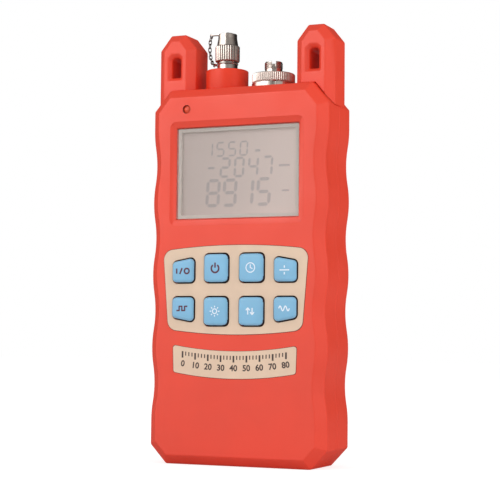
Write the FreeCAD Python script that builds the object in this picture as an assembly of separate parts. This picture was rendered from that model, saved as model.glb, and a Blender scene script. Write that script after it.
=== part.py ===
import FreeCAD, Part
import math
import os

# Handheld optical power meter with a visual fault locator, in millimetres.
# It stands on its foot at Z = 0, with its keys towards -Y and its two ports on top.

Vector = FreeCAD.Vector

# Housing
body_width = 82.0
body_depth = 33.0
body_height = 162.4
wall = 2.2
bevel = 4.0
foot_cut_x = 7.5
foot_cut_z = 8.0
shoulder_cut_x = 7.5
shoulder_cut_z = 9.0
valley_count = 4
valley_depth = 1.35
valley_foot = 18.75
valley_shoulder = 17.65
lip_height = 1.6
lip_gap = 0.1

# Strap ears
ear_inner_x = 23.9
ear_overhang = 0.4
ear_rise = 25.8
ear_depth = 18.6
ear_setback = 6.5
ear_chamfer = 3.4
ear_cut_x = 5.2
ear_cut_z = 6.5
ear_seam = 0.2
slot_width = 4.2
slot_height = 9.0
slot_sink = 1.5
slot_corner = 1.0
slot_rise = 10.9

# Display
glass_side = 12.5
glass_height = 39.8
glass_thick = 1.2
glass_drop = 37.1
glass_gap = 0.15
slope_width = 2.8
slope_depth = 1.3
slope_corner = 3.0
ledge_width = 1.6
ledge_thick = 1.2
panel_margin = 0.4
panel_thick = 2.6
panel_gap = 0.1
tray_rim = 1.0
tray_lip = 2.0

# Keypad plate and label
plate_drop = 8.8
plate_height = 38.0
plate_side = 7.25
plate_taper = 2.65
plate_bow = 2.1
plate_corner = 4.4
plate_thick = 0.6
plate_recess = 0.3
label_drop = 4.6
label_height = 11.6
label_side = 12.3
label_taper = 0.4
label_sag = 2.5
label_corner = 1.2
label_thick = 0.4
label_recess = 0.25

# Keys
key_proud = 2.0
key_gap = 0.3
key_corner = 2.0
key_round = 0.7
key_flange = 0.8
key_flange_thick = 1.0
key_flange_gap = 0.15
key_travel = 1.0
plunger_radius = 2.4
plunger_length = 1.6
key_side_margin = 2.2
key_column_gap = 4.6
key_middle_gap = 5.0
outer_key_trim = 1.0
upper_key_drop = 16.0
inner_key_height = 12.5
outer_key_height = 11.1
outer_key_slope = 1.9
key_row_gap = 5.9
dome_clearance = 0.05
dome_stand = 1.5
dome_radius = 4.2
mat_margin = 1.5
mat_thick = 1.4

# Circuit board
board_thick = 1.6
board_side_gap = 3.3
board_bottom_z = 18.0
board_post_gap = 0.3
board_notch_height = 11.3
board_top_gap = 2.8
board_screw_inset = 2.7
board_screw_low_z = 30.0
board_screw_rise = 3.7
board_boss_radius = 2.6
board_screw_radius = 1.1
board_screw_length = 5.0
board_head_radius = 2.1
board_head_height = 1.3
chip_thick = 1.2

# Indicator lamp
lamp_inset = 5.3
lamp_drop = 9.2
lamp_hole_radius = 1.9
lamp_radius = 1.7
lamp_flange_radius = 1.9
lamp_flange = 1.0
lamp_recess = 0.3
lamp_crown = 0.5

# Case screws
case_screw_inset = 8.5
case_screw_low_z = 13.0
case_screw_drop = 14.4
case_post_radius = 3.3
case_screw_radius = 1.25
case_head_radius = 2.4
case_head_height = 1.6
case_head_depth = 5.0
case_screw_length = 20.0
screw_gap = 0.1

# Light source port
laser_x = -11.85
collar_radius = 9.35
collar_height = 9.4
collar_cap = 1.5
neck_radius = 4.5
neck_shank_radius = 5.5
neck_flange_radius = 7.0
neck_flange = 1.5
neck_rise = 13.3
thread_radius = 3.95
thread_length = 3.4
ring_groove = 0.35
ring_groove_height = 0.8
ring_groove_drop = 0.4
port_gap = 0.1
ferrule_radius = 1.26
sleeve_radius = 1.65
sleeve_slit = 0.4
sleeve_length = 12.0
sleeve_lip = 0.5
beam_radius = 2.6
beam_hole_radius = 1.2
module_radius = 5.0
module_length = 22.5
module_spigot = 4.0
diode_radius = 2.8
diode_flange = 1.2
lead_size = 0.45
lead_drop = 3.0
lead_pitch = 1.3

# Dust cap and its chain
cap_radius = 5.4
cap_flute_count = 30
cap_flute_depth = 0.28
cap_fluted_height = 7.2
cap_cone_height = 3.5
cap_top_radius = 4.15
cap_top_height = 1.7
cap_bore_depth = 4.4
cap_chamfer = 0.4
tab_thick = 0.5
tab_radius = 2.6
tab_eye_reach = 7.5
tab_eye_radius = 1.05
tab_eye_hole = 0.6
rivet_radius = 1.4
rivet_head = 0.5
rivet_shank_radius = 0.6
ring_wire = 0.28
ring_eye_reach = 1.6
ring_eye_turn = 12.0
link_count = 11
link_wire = 0.2
link_width = 1.7
link_gap = 0.1
chain_bulge = 4.8
chain_lean = 47.0

# Detector port
detector_x = 10.35
base_radius = 9.5
base_height = 2.3
base_shank_radius = 6.5
base_flange_radius = 7.8
base_flange = 1.5
base_notch_width = 1.2
base_notch_depth = 0.9
base_tube_radius = 5.2
base_tube_length = 8.6
base_spigot_radius = 7.0
base_spigot_height = 2.4
base_bore = 2.0
knurl_radius = 9.35
knurl_count = 90
knurl_depth = 0.3
knurl_height = 4.3
knurl_chamfer = 0.5
knurl_lip = 0.9
barrel_radius = 4.0
barrel_height = 5.3
barrel_neck_radius = 3.7
barrel_neck_height = 1.8
barrel_chamfer = 0.4
barrel_flange_radius = 6.4
barrel_flange = 0.95
socket_radius = 2.95
ferrule_guide_length = 4.5
key_slot_width = 1.8
key_slot_turn = 24.0
photodiode_radius = 2.7
photodiode_height = 3.6
turned_gap = 0.05

# Batteries and their bay
cell_radius = 7.2
cell_length = 49.5
nub_radius = 2.75
nub_height = 1.0
cell_count = 3
cell_pitch = 14.9
cell_bottom_z = 24.5
bay_wall = 1.5
bay_side_gap = 0.4
spring_length = 3.6
spring_turns = 3.5
spring_big_radius = 4.4
spring_small_radius = 2.4
spring_wire = 0.35
contact_thick = 0.5
contact_half = 5.5
contact_gap = 0.1
contact_strip = 3.0
contact_tab_gap = 0.15

# Battery door
door_margin = 2.2
door_gap = 0.2
door_corner = 3.0
door_lap = 1.1
door_lap_width = 1.6
door_lug_width = 6.0
door_lug_reach = 1.6
door_lug_thick = 1.2
door_latch_half = 6.0
door_latch_length = 7.0
door_latch_slit = 0.8
door_notch_radius = 8.0
door_notch_depth = 1.0

# Places that follow from the sizes above
mid_y = key_proud / 2
front_y = mid_y - body_depth / 2
back_y = mid_y + body_depth / 2
top_wall_z = body_height - wall
valley_pitch = (body_height - valley_foot - valley_shoulder) / valley_count
glass_width = body_width - 2 * glass_side
glass_z = body_height - glass_drop
plate_top_z = glass_z - glass_height / 2 - slope_width - plate_drop
plate_bottom_z = plate_top_z - plate_height
plate_top_half = body_width / 2 - plate_side
plate_bottom_half = plate_top_half - plate_taper
label_top_z = plate_bottom_z - label_drop
label_bottom_z = label_top_z - label_height
label_top_half = body_width / 2 - label_side
label_bottom_half = label_top_half - label_taper
keys_width = plate_bottom_half - key_side_margin - key_middle_gap / 2 - key_column_gap
inner_key_width = (keys_width + outer_key_trim) / 2
outer_key_width = inner_key_width - outer_key_trim
inner_key_x = (key_middle_gap + inner_key_width) / 2
outer_key_x = key_middle_gap / 2 + inner_key_width + key_column_gap + outer_key_width / 2
upper_key_bottom_z = plate_top_z - upper_key_drop
case_screw_x = body_width / 2 - case_screw_inset
case_screw_high_z = body_height - case_screw_drop
board_half = body_width / 2 - wall - board_side_gap
board_neck_half = case_screw_x - case_post_radius - board_post_gap
board_shoulder_z = case_screw_high_z + case_post_radius - board_notch_height
board_screw_x = board_half - board_screw_inset
board_screw_high_z = plate_top_z + board_screw_rise
lamp_x = lamp_inset - board_neck_half
lamp_z = body_height - lamp_drop
slot_z = body_height + slot_rise
ear_front_y = front_y + ear_setback
ear_back_y = ear_front_y + ear_depth
ear_outer_x = body_width / 2 + ear_overhang
glass_y = front_y + slope_depth
ledge_y = glass_y + glass_thick
panel_y = ledge_y + ledge_thick + panel_gap
tray_y = panel_y + panel_thick
mat_y = front_y + wall + key_flange_gap + key_flange_thick + plunger_length + dome_clearance
dome_height = key_travel + dome_stand
board_y = mat_y + dome_height + mat_thick
board_back_y = board_y + board_thick
collar_top_z = body_height + collar_height
neck_top_z = body_height + neck_rise
cap_bottom_z = neck_top_z + port_gap
cap_shoulder_z = cap_bottom_z + cap_fluted_height
cap_top_z = cap_shoulder_z + cap_cone_height + cap_top_height
base_top_z = body_height + base_height
knurl_bottom_z = base_top_z + port_gap
knurl_top_z = knurl_bottom_z + knurl_height
barrel_top_z = knurl_top_z + barrel_height
neck_bottom_z = top_wall_z - port_gap - neck_flange
neck_end_z = neck_top_z + thread_length
sleeve_top_z = neck_end_z - sleeve_lip
sleeve_bottom_z = sleeve_top_z - sleeve_length
module_bottom_z = neck_bottom_z - module_length
groove_top_z = neck_top_z - ring_groove_drop
ring_z = groove_top_z - ring_groove_height / 2
base_flange_z = top_wall_z - port_gap - base_flange
base_bottom_z = base_flange_z - base_tube_length
spigot_top_z = base_top_z + base_spigot_height
socket_bottom_z = spigot_top_z + turned_gap + barrel_flange + barrel_neck_height + turned_gap
tab_top_z = cap_top_z + tab_thick
cell_top_z = cell_bottom_z + cell_length + nub_height
bay_bottom_z = cell_bottom_z - spring_length - contact_thick - contact_gap
bay_top_z = cell_top_z + contact_thick + contact_gap
low_contact_z = bay_bottom_z + contact_gap
bay_half = cell_pitch * cell_count / 2 + bay_side_gap
cell_y = back_y - wall - bay_side_gap - cell_radius
bay_floor_y = cell_y - cell_radius - bay_side_gap
door_half = bay_half + door_margin
door_bottom_z = bay_bottom_z - door_margin
door_top_z = bay_top_z + door_margin


def box(x0, x1, y0, y1, z0, z1):
    """A block between two corners."""
    return Part.makeBox(x1 - x0, y1 - y0, z1 - z0, Vector(x0, y0, z0))


def rod_y(radius, x, z, y0, y1):
    """A round bar that runs from front to back."""
    return Part.makeCylinder(radius, y1 - y0, Vector(x, y0, z), Vector(0, 1, 0))


def rod_z(radius, x, z0, z1, y=mid_y):
    """A round upright bar, on the ports' plane unless another is given."""
    return Part.makeCylinder(radius, z1 - z0, Vector(x, y, z0))


def turned(x, profile):
    """A turned piece on an upright axis, from its (radius, height) corners."""
    corners = [Vector(x + radius, mid_y, z) for radius, z in profile]
    face = Part.Face(Part.makePolygon(corners + corners[:1]))
    return face.revolve(Vector(x, mid_y, 0), Vector(0, 0, 1), 360)


def ring_wire_at(corners, y):
    """A closed outline of (x, z) corners that faces the front."""
    points = [Vector(x, y, z) for x, z in corners]
    return Part.makePolygon(points + points[:1])


def slab(corners, y0, y1):
    """A flat plate of (x, z) corners between two depths."""
    return Part.Face(ring_wire_at(corners, y0)).extrude(Vector(0, y1 - y0, 0))


def rounded(solid, radius):
    """The solid with its front-to-back corner edges rounded."""
    edges = []
    for edge in solid.Edges:
        ends = [vertex.Point for vertex in edge.Vertexes]
        if len(ends) == 2 and math.hypot(ends[0].x - ends[1].x, ends[0].z - ends[1].z) < 1e-6:
            edges.append(edge)
    return solid.makeFillet(radius, edges)


def edges_at(solid, y):
    """The edges that lie in one upright plane."""
    return [e for e in solid.Edges if all(abs(v.Point.y - y) < 1e-6 for v in e.Vertexes)]


def joined(first, *others):
    """One solid from pieces that meet, with its seams cleaned away."""
    return first.fuse(list(others)).removeSplitter()


def without(solid, *cutters):
    """The solid less everything in the list."""
    return solid.cut(list(cutters))


def group(solids):
    """Like pieces kept apart in one sub-part."""
    return Part.makeCompound([s for shape in solids for s in shape.Solids])


def faceted_wire(path, radius, sides, normal, closed):
    """A bent wire with flat facets through a list of points that lie about square to the normal."""
    count = len(path)
    rows = []
    for i, point in enumerate(path):
        before = path[(i - 1) % count] if closed or i > 0 else point
        after = path[(i + 1) % count] if closed or i < count - 1 else point
        ahead = (after - before).normalize()
        side = ahead.cross(normal).normalize()
        up = side.cross(ahead)
        turn = [2 * math.pi * (k + 0.5) / sides for k in range(sides)]
        rows.append([point + up * (radius * math.cos(a)) + side * (radius * math.sin(a)) for a in turn])
    faces = []
    for i in range(count if closed else count - 1):
        here = rows[i]
        there = rows[(i + 1) % count]
        for k in range(sides):
            n = (k + 1) % sides
            faces.append(Part.Face(Part.makePolygon([here[k], here[n], there[n], here[k]])))
            faces.append(Part.Face(Part.makePolygon([here[k], there[n], there[k], here[k]])))
    if not closed:
        for row in (rows[0], rows[-1]):
            faces.append(Part.Face(Part.makePolygon(row + row[:1])))
    solid = Part.Solid(Part.makeShell(faces))
    if solid.Volume < 0:
        solid.reverse()
    return solid


# Housing outline

def cut_ends(cut_x, cut_z, inset):
    """Where a slanted corner, moved in by the inset, meets its side and its end."""
    lean = inset * math.hypot(1 / cut_x, 1 / cut_z)
    return cut_x * (1 + lean - inset / cut_z), cut_z * (1 + lean - inset / cut_x)


def side_run(inset):
    """One side of the housing from foot to shoulder: its points, and each arc's middle or None."""
    half = body_width / 2
    step = valley_pitch / 2
    bend = 2 * math.atan(valley_depth / step)
    radius = step / (2 * math.sin(bend))
    foot_x, foot_z = cut_ends(foot_cut_x, foot_cut_z, inset)
    top_x, top_z = cut_ends(shoulder_cut_x, shoulder_cut_z, inset)
    crest = radius - inset
    joint_x = half - radius + crest * math.cos(bend)
    middle_x = half - radius + crest * math.cos(bend / 2)
    points = [(half - foot_x, inset), (half - inset, foot_z), (half - inset, valley_foot)]
    middles = [None, None]
    for i in range(valley_count):
        low_z = valley_foot + i * valley_pitch
        high_z = low_z + valley_pitch
        rise = crest * math.sin(bend)
        half_rise = crest * math.sin(bend / 2)
        middles.append((middle_x, low_z + half_rise))
        points.append((joint_x, low_z + rise))
        middles.append((half - valley_depth - inset, low_z + step))
        points.append((joint_x, high_z - rise))
        middles.append((middle_x, high_z - half_rise))
        points.append((half - inset, high_z))
    points += [(half - inset, body_height - top_z), (half - top_x, body_height - inset)]
    middles += [None, None]
    return points, middles


def outline(inset, y):
    """The housing's outline in one upright plane, moved in by the inset."""
    points, middles = side_run(inset)
    edges = []
    for sign, order in ((1, 1), (-1, -1)):
        run = points[::order]
        arcs = middles[::order]
        for (x0, z0), (x1, z1), arc in zip(run, run[1:], arcs):
            start = Vector(sign * x0, y, z0)
            end = Vector(sign * x1, y, z1)
            if arc is None:
                edges.append(Part.LineSegment(start, end).toShape())
            else:
                edges.append(Part.Arc(start, Vector(sign * arc[0], y, arc[1]), end).toShape())
        far_x, far_z = run[-1]
        across = Part.LineSegment(Vector(sign * far_x, y, far_z), Vector(-sign * far_x, y, far_z))
        edges.append(across.toShape())
    return Part.Wire(edges)


def outline_block(inset, y0, y1):
    """The housing's outline as a block between two depths."""
    return Part.Face(outline(inset, y0)).extrude(Vector(0, y1 - y0, 0))


def beveled_block(inset, y0, y1, chamfer):
    """The outline block with its front and back edges beveled."""
    block = outline_block(inset, y0, y1)
    return block.makeChamfer(chamfer, edges_at(block, y0) + edges_at(block, y1))


def housing_outside():
    return beveled_block(0, front_y, back_y, bevel)


def housing_inside():
    inner_bevel = bevel - wall * (2 - math.sqrt(2))
    return beveled_block(wall, front_y + wall, back_y - wall, inner_bevel)


def rim_band(outer_inset, inner_inset, y0, y1):
    """A strip that follows the housing's rim."""
    return without(outline_block(outer_inset, y0, y1), outline_block(inner_inset, y0, y1))


def half_space(y0, y1):
    """Everything between two depths."""
    reach = body_width + body_height
    return box(-reach, reach, y0, y1, -reach, 2 * reach)


# Strap ears

def ear_outline(sign, inset, y):
    """An ear from the shoulder's foot to its top, moved in by the inset on its three free sides."""
    outer = ear_outer_x - inset
    inner = ear_inner_x + inset
    top = body_height + ear_rise - inset
    cut_x, cut_z = cut_ends(ear_cut_x, ear_cut_z, inset)
    low = body_height - shoulder_cut_z
    cut_x -= inset
    cut_z -= inset
    corners = [(inner, low), (outer, low), (outer, top - cut_z), (outer - cut_x, top),
               (inner + cut_x, top), (inner, top - cut_z)]
    return ring_wire_at([(sign * x, z) for x, z in corners], y)


def slot_outline(sign, grow, y):
    """A strap slot: square at the foot and cut at its two upper corners."""
    centre = sign * (ear_inner_x + ear_outer_x) / 2
    half = slot_width / 2 + grow
    tall = slot_height / 2 + grow
    corner = slot_corner + grow / 2
    corners = [(-half, -tall), (half, -tall), (half, tall - corner), (half - corner, tall),
               (corner - half, tall), (-half, tall - corner)]
    return ring_wire_at([(centre + x, slot_z + z) for x, z in corners], y)


def strap_ear(sign):
    """One ear on the rear shell's shoulder: beveled edges, a sunk strap slot, clear of the front shell."""
    planes = [(ear_chamfer, ear_front_y), (0, ear_front_y + ear_chamfer),
              (0, ear_back_y - ear_chamfer), (ear_chamfer, ear_back_y)]
    block = Part.makeLoft([ear_outline(sign, inset, y) for inset, y in planes], True, True)
    slot = Part.makeLoft([slot_outline(sign, 0, ear_front_y), slot_outline(sign, 0, ear_back_y)], True, True)
    front_sink = Part.makeLoft([slot_outline(sign, slot_sink, ear_front_y),
                                slot_outline(sign, 0, ear_front_y + slot_sink)], True, True)
    back_sink = Part.makeLoft([slot_outline(sign, 0, ear_back_y - slot_sink),
                               slot_outline(sign, slot_sink, ear_back_y)], True, True)
    shoulders = [outline_block(0, mid_y, back_y), outline_block(-ear_seam, front_y, mid_y)]
    return without(block, slot, front_sink, back_sink, *shoulders)


# Screw places

def case_screw_places():
    return [(sx * case_screw_x, z) for sx in (-1, 1) for z in (case_screw_low_z, case_screw_high_z)]


def board_screw_places():
    return [(sx * board_screw_x, z) for sx in (-1, 1) for z in (board_screw_low_z, board_screw_high_z)]


# Keypad plate and label outlines

def bowed_block(top_z, bottom_z, top_half, bottom_half, top_bow, bottom_bow, corner, y0, y1):
    """A plate with straight sides and arched upper and lower edges, its corners rounded."""
    top_left = Vector(-top_half, y0, top_z)
    top_right = Vector(top_half, y0, top_z)
    bottom_left = Vector(-bottom_half, y0, bottom_z)
    bottom_right = Vector(bottom_half, y0, bottom_z)
    edges = [Part.Arc(top_left, Vector(0, y0, top_z + top_bow), top_right).toShape(),
             Part.LineSegment(top_right, bottom_right).toShape(),
             Part.Arc(bottom_right, Vector(0, y0, bottom_z + bottom_bow), bottom_left).toShape(),
             Part.LineSegment(bottom_left, top_left).toShape()]
    return rounded(Part.Face(Part.Wire(edges)).extrude(Vector(0, y1 - y0, 0)), corner)


def plate_block(y0, y1):
    return bowed_block(plate_top_z - plate_bow, plate_bottom_z + plate_bow, plate_top_half,
                       plate_bottom_half, plate_bow, -plate_bow, plate_corner, y0, y1)


def label_block(y0, y1):
    return bowed_block(label_top_z, label_bottom_z, label_top_half, label_bottom_half,
                       -label_sag, -label_sag, label_corner, y0, y1)


# Keys

def key_outlines():
    """Each key's name and its (x, z) corners: the outer keys slope with the plate's edge."""
    lower_top_z = upper_key_bottom_z - key_row_gap
    outlines = {}
    names = {1: ("key_laser", "key_power", "key_auto", "key_zero"),
             -1: ("key_pulse", "key_light", "key_unit", "key_wavelength")}
    for row, row_names in names.items():
        base_z = upper_key_bottom_z if row == 1 else lower_top_z
        for column, name in enumerate(row_names):
            side = -1 if column < 2 else 1
            outer = column in (0, 3)
            centre = side * (outer_key_x if outer else inner_key_x)
            half = (outer_key_width if outer else inner_key_width) / 2
            tall = outer_key_height if outer else inner_key_height
            drop = outer_key_slope if outer else 0
            near = centre - side * half
            far = centre + side * half
            outlines[name] = [(near, base_z), (far, base_z), (far, base_z + row * (tall - drop)),
                              (near, base_z + row * tall)]
    return outlines


def grown(corners, amount):
    """A convex outline of (x, z) corners with every side moved out."""
    centre_x = sum(x for x, _ in corners) / len(corners)
    centre_z = sum(z for _, z in corners) / len(corners)
    lines = []
    for (x0, z0), (x1, z1) in zip(corners, corners[1:] + corners[:1]):
        length = math.hypot(x1 - x0, z1 - z0)
        nx = (z1 - z0) / length
        nz = (x0 - x1) / length
        offset = nx * x0 + nz * z0
        if nx * centre_x + nz * centre_z > offset:
            nx, nz, offset = -nx, -nz, -offset
        lines.append((nx, nz, offset + amount))
    moved = []
    for (a0, b0, c0), (a1, b1, c1) in zip(lines[-1:] + lines[:-1], lines):
        scale = a0 * b1 - a1 * b0
        moved.append(((c0 * b1 - c1 * b0) / scale, (a0 * c1 - a1 * c0) / scale))
    return moved


def key_centre(corners):
    return (sum(x for x, _ in corners) / 4, sum(z for _, z in corners) / 4)


def key_opening(corners, y0, y1):
    return rounded(slab(grown(corners, key_gap), y0, y1), key_corner + key_gap)


def key(corners):
    """A hard key with a rounded top edge, a retaining flange and a plunger."""
    flange_y = front_y + wall + key_flange_gap
    plunger_y = flange_y + key_flange_thick
    x, z = key_centre(corners)
    top = rounded(slab(corners, front_y - key_proud, flange_y), key_corner)
    top = top.makeChamfer(key_round, edges_at(top, front_y - key_proud))
    flange = rounded(slab(grown(corners, key_flange), flange_y, plunger_y), key_corner)
    return joined(top, flange, rod_y(plunger_radius, x, z, plunger_y, plunger_y + plunger_length))


# Front shell and what shows on it

def window_rim():
    """The thicker frame behind the front wall, which the glass and the panel meet."""
    half = glass_width / 2 + slope_width
    tall = glass_height / 2 + slope_width
    return box(-half, half, front_y + wall, ledge_y + ledge_thick, glass_z - tall, glass_z + tall)


def glass_corners(grow):
    half = glass_width / 2 + grow
    low = glass_z - glass_height / 2 - grow
    high = glass_z + glass_height / 2 + grow
    return [(-half, low), (half, low), (half, high), (-half, high)]


def window_cutters():
    """The sloped surround, the seat of the glass and the opening behind it."""
    slope = Part.makeLoft([ring_wire_at(glass_corners(slope_width), front_y),
                           ring_wire_at(glass_corners(0), glass_y)], True, True)
    mouth = rounded(slab(glass_corners(slope_width), front_y, glass_y), slope_corner)
    return [slope.common(mouth), slab(glass_corners(0), front_y, ledge_y),
            slab(glass_corners(-ledge_width), ledge_y, ledge_y + ledge_thick)]


def front_shell():
    """The front half: window, key openings, lamp hole, half of each port hole and its bosses."""
    shell = without(housing_outside().common(half_space(front_y, mid_y)), housing_inside())
    inside = housing_inside().common(half_space(front_y, mid_y))
    additions = [window_rim()]
    for x, z in case_screw_places():
        additions.append(rod_y(case_post_radius, x, z, front_y + wall, mid_y).common(inside))
    for x, z in board_screw_places():
        additions.append(rod_y(board_boss_radius, x, z, front_y + wall, board_y))
    shell = joined(shell, *additions)
    cutters = window_cutters()
    cutters.append(plate_block(front_y, front_y + plate_recess))
    cutters.append(label_block(front_y, front_y + label_recess))
    for corners in key_outlines().values():
        cutters.append(key_opening(corners, front_y, front_y + wall))
    cutters.append(rod_y(lamp_hole_radius, lamp_x, lamp_z, front_y, front_y + wall))
    pilot_y = back_y - case_head_depth - case_screw_length - screw_gap
    for x, z in case_screw_places():
        cutters.append(rod_y(case_screw_radius + screw_gap, x, z, pilot_y, mid_y))
    for x, z in board_screw_places():
        pilot_y = board_back_y - board_screw_length
        cutters.append(rod_y(board_screw_radius + screw_gap, x, z, pilot_y, board_y))
    cutters.append(rod_z(neck_shank_radius + port_gap, laser_x, top_wall_z, body_height))
    cutters.append(rod_z(base_shank_radius + port_gap, detector_x, top_wall_z, body_height))
    cutters.append(rim_band(wall / 2, wall, mid_y - lip_height - lip_gap, mid_y))
    return without(shell, *cutters)


def display_window():
    return slab(glass_corners(-glass_gap), glass_y, ledge_y)


def lcd_panel():
    return slab(glass_corners(panel_margin), panel_y, tray_y)


def lcd_tray():
    """The backlight tray between the panel and the board, with lips over the panel's two ends."""
    half = glass_width / 2 + panel_margin
    tall = glass_height / 2 + panel_margin + port_gap
    base = box(-half, half, tray_y, board_y, glass_z - tall - tray_rim, glass_z + tall + tray_rim)
    upper = box(-half, half, tray_y - tray_lip, tray_y, glass_z + tall, glass_z + tall + tray_rim)
    lower = box(-half, half, tray_y - tray_lip, tray_y, glass_z - tall - tray_rim, glass_z - tall)
    return joined(base, upper, lower)


def keypad_plate():
    """The thin plate round the keys, laid in its recess."""
    plate_y = front_y + plate_recess - plate_thick
    openings = [key_opening(c, plate_y, front_y + plate_recess) for c in key_outlines().values()]
    return without(plate_block(plate_y, front_y + plate_recess), *openings)


def label_strip():
    return label_block(front_y + label_recess - label_thick, front_y + label_recess)


def keypad_mat():
    """The rubber mat on the board, with one dome under each key's plunger."""
    corners = [c for outline_corners in key_outlines().values() for c in outline_corners]
    half = max(x for x, _ in corners) - mat_margin
    low_z = min(z for _, z in corners) + mat_margin
    high_z = max(z for _, z in corners) - mat_margin
    mat = box(-half, half, board_y - mat_thick, board_y, low_z, high_z)
    domes = []
    for outline_corners in key_outlines().values():
        x, z = key_centre(outline_corners)
        domes.append(Part.makeCone(plunger_radius, dome_radius, dome_height, Vector(x, mat_y, z),
                                   Vector(0, 1, 0)))
    return joined(mat, *domes)


# Board

def main_board():
    """The circuit board, narrower beside the upper case screws."""
    top_z = top_wall_z - board_top_gap
    corners = [(-board_half, board_bottom_z), (board_half, board_bottom_z), (board_half, board_shoulder_z),
               (board_neck_half, board_shoulder_z), (board_neck_half, top_z), (-board_neck_half, top_z),
               (-board_neck_half, board_shoulder_z), (-board_half, board_shoulder_z)]
    holes = [rod_y(board_screw_radius + screw_gap, x, z, board_y, board_back_y)
             for x, z in board_screw_places()]
    return without(slab(corners, board_y, board_back_y), *holes)


def board_chips():
    """The larger chips on the back of the board: x, rise over the glass's middle, width and height."""
    sizes = [(0, -7.3, 14, 14), (-20, -13.3, 8, 10), (20, -15.3, 8, 6), (0, -27.3, 10, 6)]
    chips = []
    for x, rise, width, height in sizes:
        low_z = glass_z + rise - height / 2
        chips.append(box(x - width / 2, x + width / 2, board_back_y, board_back_y + chip_thick,
                         low_z, low_z + height))
    return group(chips)


def board_screws():
    """Four small screws that hold the board on its bosses."""
    screws = []
    for x, z in board_screw_places():
        shank = rod_y(board_screw_radius, x, z, board_back_y - board_screw_length + screw_gap, board_back_y)
        head = rod_y(board_head_radius, x, z, board_back_y, board_back_y + board_head_height)
        screws.append(joined(shank, head))
    return group(screws)


def indicator_led():
    """A round lamp that stands on the board, its low crown just behind the front face."""
    tip_y = front_y + lamp_recess
    curve = (lamp_radius ** 2 + lamp_crown ** 2) / (2 * lamp_crown)
    tip = rod_y(lamp_radius, lamp_x, lamp_z, tip_y, tip_y + lamp_radius)
    crown = tip.common(Part.makeSphere(curve, Vector(lamp_x, tip_y + curve, lamp_z)))
    bulb = rod_y(lamp_radius, lamp_x, lamp_z, tip_y + lamp_radius, board_y)
    flange = rod_y(lamp_flange_radius, lamp_x, lamp_z, board_y - lamp_flange, board_y)
    return joined(bulb, crown, flange)


# Rear shell, door and batteries

def door_corners(shrink):
    half = door_half - shrink
    low = door_bottom_z + shrink
    high = door_top_z - shrink
    return [(-half, low), (half, low), (half, high), (-half, high)]


def battery_bay():
    """The box that holds the cells, as walls that reach forward from the rear wall."""
    walls = box(-bay_half - bay_wall, bay_half + bay_wall, bay_floor_y - bay_wall, back_y - wall,
                bay_bottom_z - bay_wall, bay_top_z + bay_wall)
    space = box(-bay_half, bay_half, bay_floor_y, back_y - wall, bay_bottom_z, bay_top_z)
    return walls, space


def rear_shell():
    """The rear half: battery bay, screw posts, half of each port hole and the door's opening."""
    inside = housing_inside()
    shell = without(housing_outside().common(half_space(mid_y, back_y)), inside)
    lip = rim_band(wall / 2 + lip_gap, wall, mid_y - lip_height, mid_y)
    bay_walls, bay_space = battery_bay()
    additions = [lip, bay_walls]
    for x, z in case_screw_places():
        post = rod_y(case_post_radius, x, z, mid_y, back_y - wall)
        additions.append(post.common(inside))
    shell = joined(shell, *additions)
    cutters = [bay_space]
    cutters += [contact_tab(x, z, contact_tab_gap) for x, z in contact_tab_places()]
    cutters.append(rounded(slab(door_corners(0), back_y - door_lap, back_y), door_corner))
    cutters.append(rod_y(door_notch_radius, 0, door_top_z, back_y - door_notch_depth, back_y))
    cutters.append(slab(door_corners(door_lap_width), back_y - wall, back_y - door_lap))
    cutters.append(rod_z(neck_shank_radius + port_gap, laser_x, top_wall_z, body_height))
    cutters.append(rod_z(base_shank_radius + port_gap, detector_x, top_wall_z, body_height))
    for x, z in case_screw_places():
        cutters.append(rod_y(case_screw_radius + screw_gap, x, z, mid_y, back_y))
        cutters.append(rod_y(case_head_radius + screw_gap, x, z, back_y - case_head_depth, back_y))
    notches = [rod_z(radius + port_gap, x, top_wall_z - wall, top_wall_z)
               for radius, x in ((neck_flange_radius, laser_x), (base_flange_radius, detector_x))]
    return without(shell, *cutters, *notches)


def battery_door():
    """The lift-off cover: a lapped plate with a latch tongue above and two lugs below."""
    outer = rounded(slab(door_corners(door_gap), back_y - door_lap, back_y), door_corner)
    inner = slab(door_corners(door_lap_width + door_gap), back_y - wall, back_y - door_lap)
    lug_z = bay_bottom_z + door_gap
    lugs = [box(sx * cell_pitch - door_lug_width / 2, sx * cell_pitch + door_lug_width / 2,
                back_y - wall - door_lug_reach, back_y - wall, lug_z, lug_z + door_lug_thick)
            for sx in (-1, 1)]
    slits = [box(sx * door_latch_half - door_latch_slit / 2, sx * door_latch_half + door_latch_slit / 2,
                 back_y - wall, back_y, door_top_z - door_latch_length, door_top_z) for sx in (-1, 1)]
    return without(joined(outer, inner, *lugs), *slits)


def cell_place(index):
    """A cell's centre line and the heights of its two ends; every other cell is turned over."""
    x = (index - (cell_count - 1) / 2) * cell_pitch
    bottom_z = cell_bottom_z - (spring_length if index % 2 else 0)
    return x, bottom_z, bottom_z + cell_length + nub_height


def battery(index):
    """One dry cell with its nub."""
    x, bottom_z, top_z = cell_place(index)
    if index % 2:
        can = rod_z(cell_radius, x, bottom_z + nub_height, top_z, cell_y)
        nub = rod_z(nub_radius, x, bottom_z, bottom_z + nub_height, cell_y)
    else:
        can = rod_z(cell_radius, x, bottom_z, top_z - nub_height, cell_y)
        nub = rod_z(nub_radius, x, top_z - nub_height, top_z, cell_y)
    return joined(can, nub)


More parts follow.
